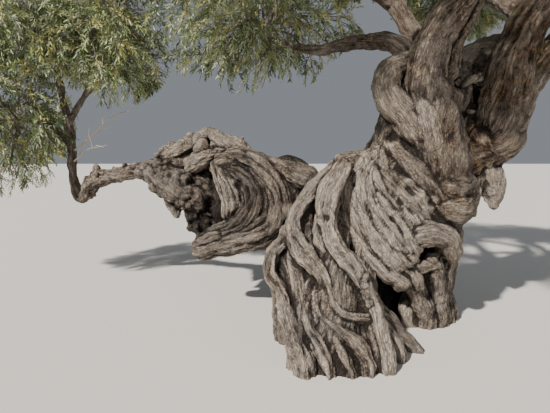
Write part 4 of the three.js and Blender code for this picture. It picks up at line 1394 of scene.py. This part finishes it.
# %% [markdown]
# ## Twigs
# A run of wood is kept as a row of points. One function grows a whole generation at once: it takes
# all the runs of the last generation, picks places along each, turns away by the golden angle and
# lets each new run sag under its own weight as it goes.

# %% Twigs
GOLDEN_ANGLE = math.pi * (3 - math.sqrt(5))
OUTWARD = 0.22  # how strongly a new run turns away from the middle of its mass
SPREADS = (0.75, 1.25)  # the least and the most, in parts of the usual one
LENGTHS = (0.7, 1.3)
KINK = 0.12  # how much its direction strays at each point
ANY_TURN = 6.3  # just over a whole turn, in radians
BEFORE_TIP = 0.9999
UPRIGHT = 0.9


def places_on(runs, shares):
    """Places and directions along each run, at shares of its length"""
    at = np.clip(np.asarray(shares), 0, BEFORE_TIP) * (runs.shape[1] - 1)
    left = np.floor(at).astype(int)
    part = (at - left)[None, :, None]
    start, end = runs[:, left], runs[:, left + 1]
    return start + (end - start) * part, unit(end - start)


def across(directions, roll):
    """A direction at right angles to each one, rolled round it"""
    helper = np.where(np.abs(directions[..., 2:3]) > UPRIGHT, (1.0, 0, 0), (0, 0, 1.0))
    side = unit(np.cross(directions, helper))
    other = np.cross(directions, side)
    return side * np.cos(roll)[..., None] + other * np.sin(roll)[..., None]


def grow(runs, dice, shares, length, spread, sag, points, outward=None):
    """The next generation: runs that leave the last one at shares of its length"""
    roots, directions = places_on(runs, shares)
    count = len(runs) * len(shares)
    roll = dice.random((len(runs), 1)) * ANY_TURN + GOLDEN_ANGLE * np.arange(len(shares))[None]
    turn = spread * dice.uniform(*SPREADS, roll.shape)[..., None]
    way = directions * np.cos(turn) + across(directions, roll) * np.sin(turn)
    place, way = roots.reshape(count, 3), way.reshape(count, 3)
    if outward is not None:
        way = unit(way + OUTWARD * unit(place - outward))
    size = length * dice.uniform(*LENGTHS, (count, 1))
    line = [place]
    for _ in range(points - 1):
        way = unit(way + np.array((0, 0, -sag)) + KINK * dice.normal(size=way.shape))
        place = place + way * size / (points - 1)
        line.append(place)
    return np.stack(line, axis=1)


def evenly(line, count):
    """Some places of a line, spread evenly along it"""
    return line[np.linspace(0, len(line) - 1, count).round().astype(int)]


print("golden angle:", round(math.degrees(GOLDEN_ANGLE), 1), "degrees")

# %% [markdown]
# The stem carries on from its bough's tip nearly to the middle of the mass. Its first twigs end at
# points that the golden angle spreads all round, so that no side of the mass stays empty.

# %% The stem and its first twigs
STEM_ROOT = 0.03  # how far it starts inside the bough
STEM_BEND = (0.45, 0.06)  # at this share of the way to the centre, and so far on along the bough
STEM_LENGTH = 0.9  # as a share of that way
STEM_STEP, TWIG_STEP = 0.01, 0.02
FIRST_TWIGS = 11
FIRST_FROM, FIRST_OVER = 0.4, 0.59  # where on the stem they start, and over how much of it
FIRST_STRAY = 0.6
FIRST_REACH = 0.60  # in parts of the mass's reach
FIRST_BEND = 0.55
FIRST_ARCH = 0.12
FIRST_POINTS = 8


def first_stem(carrier, centre):
    tip, along = carrier.centres[-1], carrier.along[-1]
    share, onward = STEM_BEND
    bend = tip + share * (centre - tip) + onward * along
    stem, _ = spline((tip - STEM_ROOT * along, bend, tip + STEM_LENGTH * (centre - tip)), STEM_STEP)
    return stem


def first_twigs(name, dice):
    """The stem from the bough's tip, and the twigs that arch out from it"""
    centre, reach = CENTRES[name], REACHES[name]
    stem = first_stem(WOOD[MASSES[name][0]][0], centre)
    twigs = []
    for i in range(FIRST_TWIGS):
        height = 1 - 2 * (i + 0.5) / FIRST_TWIGS
        turn = GOLDEN_ANGLE * i + FIRST_STRAY * dice.random()
        level = math.sqrt(1 - height * height)
        out = np.array((level * math.cos(turn), level * math.sin(turn), height))
        root = stem[int((FIRST_FROM + FIRST_OVER * dice.random()) * (len(stem) - 1))]
        end = centre + out * reach * FIRST_REACH
        arch = np.array((0, 0, FIRST_ARCH * np.linalg.norm(end - root)))
        line, _ = spline((root, root + FIRST_BEND * (end - root) + arch, end), TWIG_STEP)
        twigs.append(evenly(line, FIRST_POINTS))
    return evenly(stem, FIRST_POINTS)[None], np.array(twigs)


print("first twigs of a mass:", FIRST_TWIGS)


# %% [markdown]
# So many twigs would be slow as curves. Their corners and faces are worked out as arrays instead, with
# three sides to a twig, and go into one mesh.

# %% Tubes and pieces
TUBE_SIDES = 3


def tubes(runs, thick, thin):
    """Thin tubes along runs of points: corners and faces of all of them"""
    count, points = runs.shape[:2]
    radii = np.linspace(thick, thin, points)
    directions = unit(np.gradient(runs, axis=1))
    side = across(directions, np.zeros((count, points)))
    other = np.cross(directions, side)
    corners = []
    for k in range(TUBE_SIDES):
        angle = 2 * math.pi * k / TUBE_SIDES
        spoke = side * math.cos(angle) + other * math.sin(angle)
        corners.append(runs + spoke * radii[None, :, None])
    corners = np.stack(corners, axis=2).reshape(-1, 3)
    faces = []
    for i in range(points - 1):
        for k in range(TUBE_SIDES):
            a, b = i * TUBE_SIDES + k, i * TUBE_SIDES + (k + 1) % TUBE_SIDES
            faces.append((a, b, b + TUBE_SIDES))
            faces.append((a, b + TUBE_SIDES, a + TUBE_SIDES))
    last = (points - 1) * TUBE_SIDES
    faces += [(0, 2, 1), (last, last + 1, last + 2)]
    faces = np.array(faces)[None] + (np.arange(count) * points * TUBE_SIDES)[:, None, None]
    return corners, faces.reshape(-1, 3)


def joined(parts):
    """Corner and face arrays of many parts as one"""
    corners, faces, start = [], [], 0
    for points, numbers in parts:
        corners.append(points)
        faces.append(numbers + start)
        start += len(points)
    return np.vstack(corners), np.vstack(faces)


def piece_from(name, corners, faces, materials, indices=None):
    mesh = bpy.data.meshes.new(name)
    mesh.from_pydata(corners, [], faces)
    for material in materials:
        mesh.materials.append(material)
    if indices is not None:
        mesh.polygons.foreach_set("material_index", indices)
    piece = bpy.data.objects.new(name, mesh)
    bpy.context.scene.collection.objects.link(piece)
    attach(piece, "root")
    return piece


# %% [markdown]
# ## Leaves
# An olive leaf is narrow, folded a little along its midrib, with a pointed tip. Four triangles in its
# own outline are enough for one leaf, because there are many thousands. They stand in pairs along a
# shoot, each pair turned a quarter from the last. Old leaves are dark and leathery, young ones yellow
# green, and the undersides silver, so each shoot draws one of a few plain leaf colours.

# %% Leaves
LEAF_LENGTH = 0.068
LEAF_WIDTH = 0.0148
LEAF_LENGTHS = (0.72, 1.18)  # the least and the most, in parts of the usual one
LEAF_WIDTHS = (0.85, 1.15)
LEAF_SPREADS = (0.6, 1.2)
LEAF_SPREAD = 0.85
LEAF_FOLD = 0.30
LEAF_DROOP = 0.10
LEAF_TILT = 0.55
LEAF_OUTLINE = ((0, 0), (0.30, -1), (0.70, -0.72), (1, 0), (0.70, 0.72), (0.30, 1))
LEAF_TIP = 3  # its number in the outline
LEAF_FACES = np.array(((0, 1, 2, 3), (0, 3, 4, 5)))
PAIRS_ON_SHOOT = 9
PAIR_SHARES = np.linspace(0.10, 0.99, PAIRS_ON_SHOOT)
PAIR_SPREADS = np.linspace(1.1, 0.55, PAIRS_ON_SHOOT)  # near the tip they lie closer to the shoot
LEAF_PAINTS = (  # name, colour, and how often it is drawn beside the others
    ("leaf_dark", (0.085, 0.120, 0.046), 2.8),
    ("leaf_green", (0.230, 0.285, 0.115), 3.4),
    ("leaf_grey", (0.370, 0.420, 0.260), 2.6),
    ("leaf_silver", (0.500, 0.545, 0.405), 0.8),
    ("leaf_olive", (0.410, 0.400, 0.150), 1.8),
)
LEAF_ROUGHNESS, LEAF_SHINE, TWIG_ROUGHNESS = 0.48, 0.45, 0.8
TWIG_COLOURS = ((0.35, (0.09, 0.07, 0.055)), (0.65, (0.24, 0.205, 0.165)))
TWIG_PATCHES = 12.0  # in a metre
BARE_COLOUR = (0.42, 0.36, 0.29)


def plain_paint(name, colour, roughness, shine=0.5):
    paint = Paint(name)
    paint.finish(colour, roughness, shine)
    return paint.material


def twig_paint(name):
    paint = Paint(name)
    level = paint.noise(paint.add("TexCoord", output="Object"), TWIG_PATCHES)
    paint.finish(paint.ramp(level, TWIG_COLOURS), TWIG_ROUGHNESS)
    return paint.material


leaf_paints = [plain_paint(name, colour, LEAF_ROUGHNESS, LEAF_SHINE) for name, colour, _ in LEAF_PAINTS]
twig_bark = twig_paint("twig_bark")
bare_bark = plain_paint("bare_bark", BARE_COLOUR, TWIG_ROUGHNESS)
print("leaf colours:", len(leaf_paints))


# %% [markdown]
# All leaves of a mass are laid out at once. Each has a direction, a side and a face, and its outline is
# drawn along them. A leaf whose tip would leave the mass's space is dropped.


# %% Leaves on the shoots
def grow_leaves(shoots, name, dice):
    roots, ways = places_on(shoots, PAIR_SHARES)
    roll = dice.random((len(shoots), 1)) * ANY_TURN + np.arange(PAIRS_ON_SHOOT)[None] * math.pi / 2
    corners, sprays = [], []
    for opposite in (0, math.pi):
        turn = LEAF_SPREAD * dice.uniform(*LEAF_SPREADS, roll.shape) * PAIR_SPREADS
        way = unit(ways * np.cos(turn)[..., None] + across(ways, roll + opposite) * np.sin(turn)[..., None])
        up = np.array((0, 0, 1.0)) + LEAF_TILT * dice.normal(size=way.shape)
        side = unit(np.cross(way, up))
        face = np.cross(side, way)
        length = LEAF_LENGTH * dice.uniform(*LEAF_LENGTHS, roll.shape)[..., None]
        half = LEAF_WIDTH / 2 * dice.uniform(*LEAF_WIDTHS, roll.shape)[..., None]
        leaf = []
        for share, aside in LEAF_OUTLINE:
            lift = LEAF_FOLD * abs(aside) * half - LEAF_DROOP * share**2 * length
            leaf.append(roots + way * length * share + side * half * aside + face * lift)
        leaf = np.stack(leaf, axis=2)
        fits = in_space(leaf[:, :, LEAF_TIP], name)
        corners.append(leaf[fits])
        sprays.append(np.nonzero(fits)[0])
    corners, sprays = np.vstack(corners), np.concatenate(sprays)
    faces = LEAF_FACES[None] + (len(LEAF_OUTLINE) * np.arange(len(corners)))[:, None, None]
    return corners.reshape(-1, 3), faces.reshape(-1, 4), sprays


# %% [markdown]
# ## The crown
# Every mass grows with its own seed. Its leaves are one piece and its twigs another.

# %% The crown
MASS_SEED, SEED_STEP = 7919, 31
BRANCHES = {"shares": np.linspace(0.22, 1.0, 12), "length": 0.50, "spread": 0.85, "sag": 0.05, "points": 6}
SHOOTS = {"shares": np.linspace(0.14, 1.0, 10), "length": 0.30, "spread": 0.85, "sag": 0.22, "points": 4}
WEIGHTS = np.array([weight for _, _, weight in LEAF_PAINTS])
SHORTER = (1.0, 0.75, 0.5)  # the lengths a twig is tried at
CLUMP_WIDTH = 0.24  # leaves stand in clumps about this wide, with gaps between them
CLUMP_GAP = -0.07  # where the noise of the clumps is below this, there are none
RADII = (  # at the root and at the tip, of the stem, the first twigs, the branches and the shoots
    (0.034, 0.018),
    (0.019, 0.007),
    (0.0065, 0.003),
    (0.0026, 0.0014),
)


def fitting(runs, name):
    ends, middles = runs[:, -1], runs[:, runs.shape[1] // 2]
    return in_space(ends, name) & in_space(middles, name) & clear_of_wood(ends) & clear_of_wood(middles)


def kept(runs, name):
    """The runs that stay in the mass's own space and touch no wood, some of them after shortening"""
    found = []
    for share in SHORTER:
        shorter = runs[:, :1] + (runs - runs[:, :1]) * share
        fits = fitting(shorter, name)
        found.append(shorter[fits])
        runs = runs[~fits]
    return np.vstack(found)


def grow_mass(name, number):
    dice = np.random.default_rng(MASS_SEED + SEED_STEP * number)
    stem, twigs = first_twigs(name, dice)
    twigs = kept(twigs, name)
    branches = kept(grow(np.vstack((twigs, stem)), dice, outward=CENTRES[name], **BRANCHES), name)
    shoots = kept(grow(branches, dice, **SHOOTS), name)
    shoots = shoots[noise_at(shoots[:, 0] / CLUMP_WIDTH) > CLUMP_GAP]
    corners, faces, sprays = grow_leaves(shoots, name, dice)
    colours = dice.choice(len(WEIGHTS), size=len(shoots), p=WEIGHTS / WEIGHTS.sum())
    indices = np.repeat(colours[sprays], len(LEAF_FACES))
    leaves = piece_from(name + "_leaves", corners, faces, leaf_paints, indices)
    generations = zip((stem, twigs, branches, shoots), RADII)
    corners, faces = joined(tubes(runs, thick, thin) for runs, (thick, thin) in generations)
    wood_piece = piece_from(name + "_twigs", corners, faces, [twig_bark])
    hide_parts(name)
    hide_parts(name)
    print(name, "shoots:", len(shoots), "leaf triangles:", 2 * len(leaves.data.polygons), "twig:", len(faces))


for number, name in enumerate(MASSES):
    grow_mass(name, number)


# %% [markdown]
# ## Bare twigs
# Below the left mass a few twigs have died and stand bare and pale. They are grown by the same rule,
# only without shoots.

# %% Bare twigs
BARE_SEED = 41
BARE_TWIGS = (  # each from inside the upright stem outwards
    ((-3320, 1745, 1700), (-3040, 1660, 1880), (-2800, 1600, 2090), (-2640, 1560, 2160)),
    ((-3330, 1745, 1560), (-3120, 1640, 1700), (-2930, 1560, 1780)),
    ((-3330, 1745, 1840), (-3560, 1640, 1960), (-3720, 1580, 2130)),
)
BARE_POINTS = 9
BARE_RADII, SIDE_RADII = (0.016, 0.007), (0.0055, 0.0025)
SIDE_TWIGS = {"shares": np.linspace(0.35, 1.0, 5), "length": 0.22, "spread": 0.7, "sag": 0.0, "points": 4}


def grow_bare_twigs():
    dice = np.random.default_rng(BARE_SEED)
    parts = []
    for stations in BARE_TWIGS:
        line, _ = spline(np.array(stations) * MM, TWIG_STEP)
        main = evenly(line, BARE_POINTS)[None]
        side = grow(main, dice, **SIDE_TWIGS)
        parts += [tubes(main, *BARE_RADII), tubes(side, *SIDE_RADII)]
    twigs = piece_from("bare_twigs", *joined(parts), [bare_bark])
    print("bare twigs, triangles:", len(twigs.data.polygons))
    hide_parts("left_stem")


grow_bare_twigs()

# %% [markdown]
# ## Floor and light
# A plain pale floor stands in for the ground. The key light is a sun from high on the left, in front
# of the tree, because light from one side brings out the grooves. A wide, weak sun from the right and
# the pale surroundings keep the shaded sides readable.

# %% Floor and light
FLOOR_SIZE = 400
FLOOR_COLOUR, FLOOR_ROUGHNESS = (0.62, 0.60, 0.57), 0.9
SUN = {"tilt": 52, "turn": -38, "energy": 7.5, "angle": 2, "colour": (1.0, 0.95, 0.87)}  # degrees
FILL = {"tilt": 74, "turn": 20, "energy": 0.5, "angle": 50, "colour": (1.0, 1.0, 1.0)}
SKY_COLOUR, SKY_STRENGTH = (0.82, 0.88, 0.97, 1), 0.28

bpy.ops.mesh.primitive_plane_add(size=FLOOR_SIZE)
floor = bpy.context.object
floor.name = "floor"
floor.data.materials.append(plain_paint("floor", FLOOR_COLOUR, FLOOR_ROUGHNESS))


def add_sun(name, tilt, turn, energy, angle, colour):
    bpy.ops.object.light_add(type="SUN", rotation=(math.radians(tilt), 0, math.radians(turn)))
    light = bpy.context.object
    light.name = name
    light.data.energy = energy
    light.data.angle = math.radians(angle)
    light.data.color = colour


add_sun("sun", **SUN)
add_sun("fill", **FILL)
world = bpy.data.worlds.new("studio")
bpy.context.scene.world = world
world.use_nodes = True
background = world.node_tree.nodes["Background"]
background.inputs["Color"].default_value = SKY_COLOUR
background.inputs["Strength"].default_value = SKY_STRENGTH
print("lights: sun and fill")
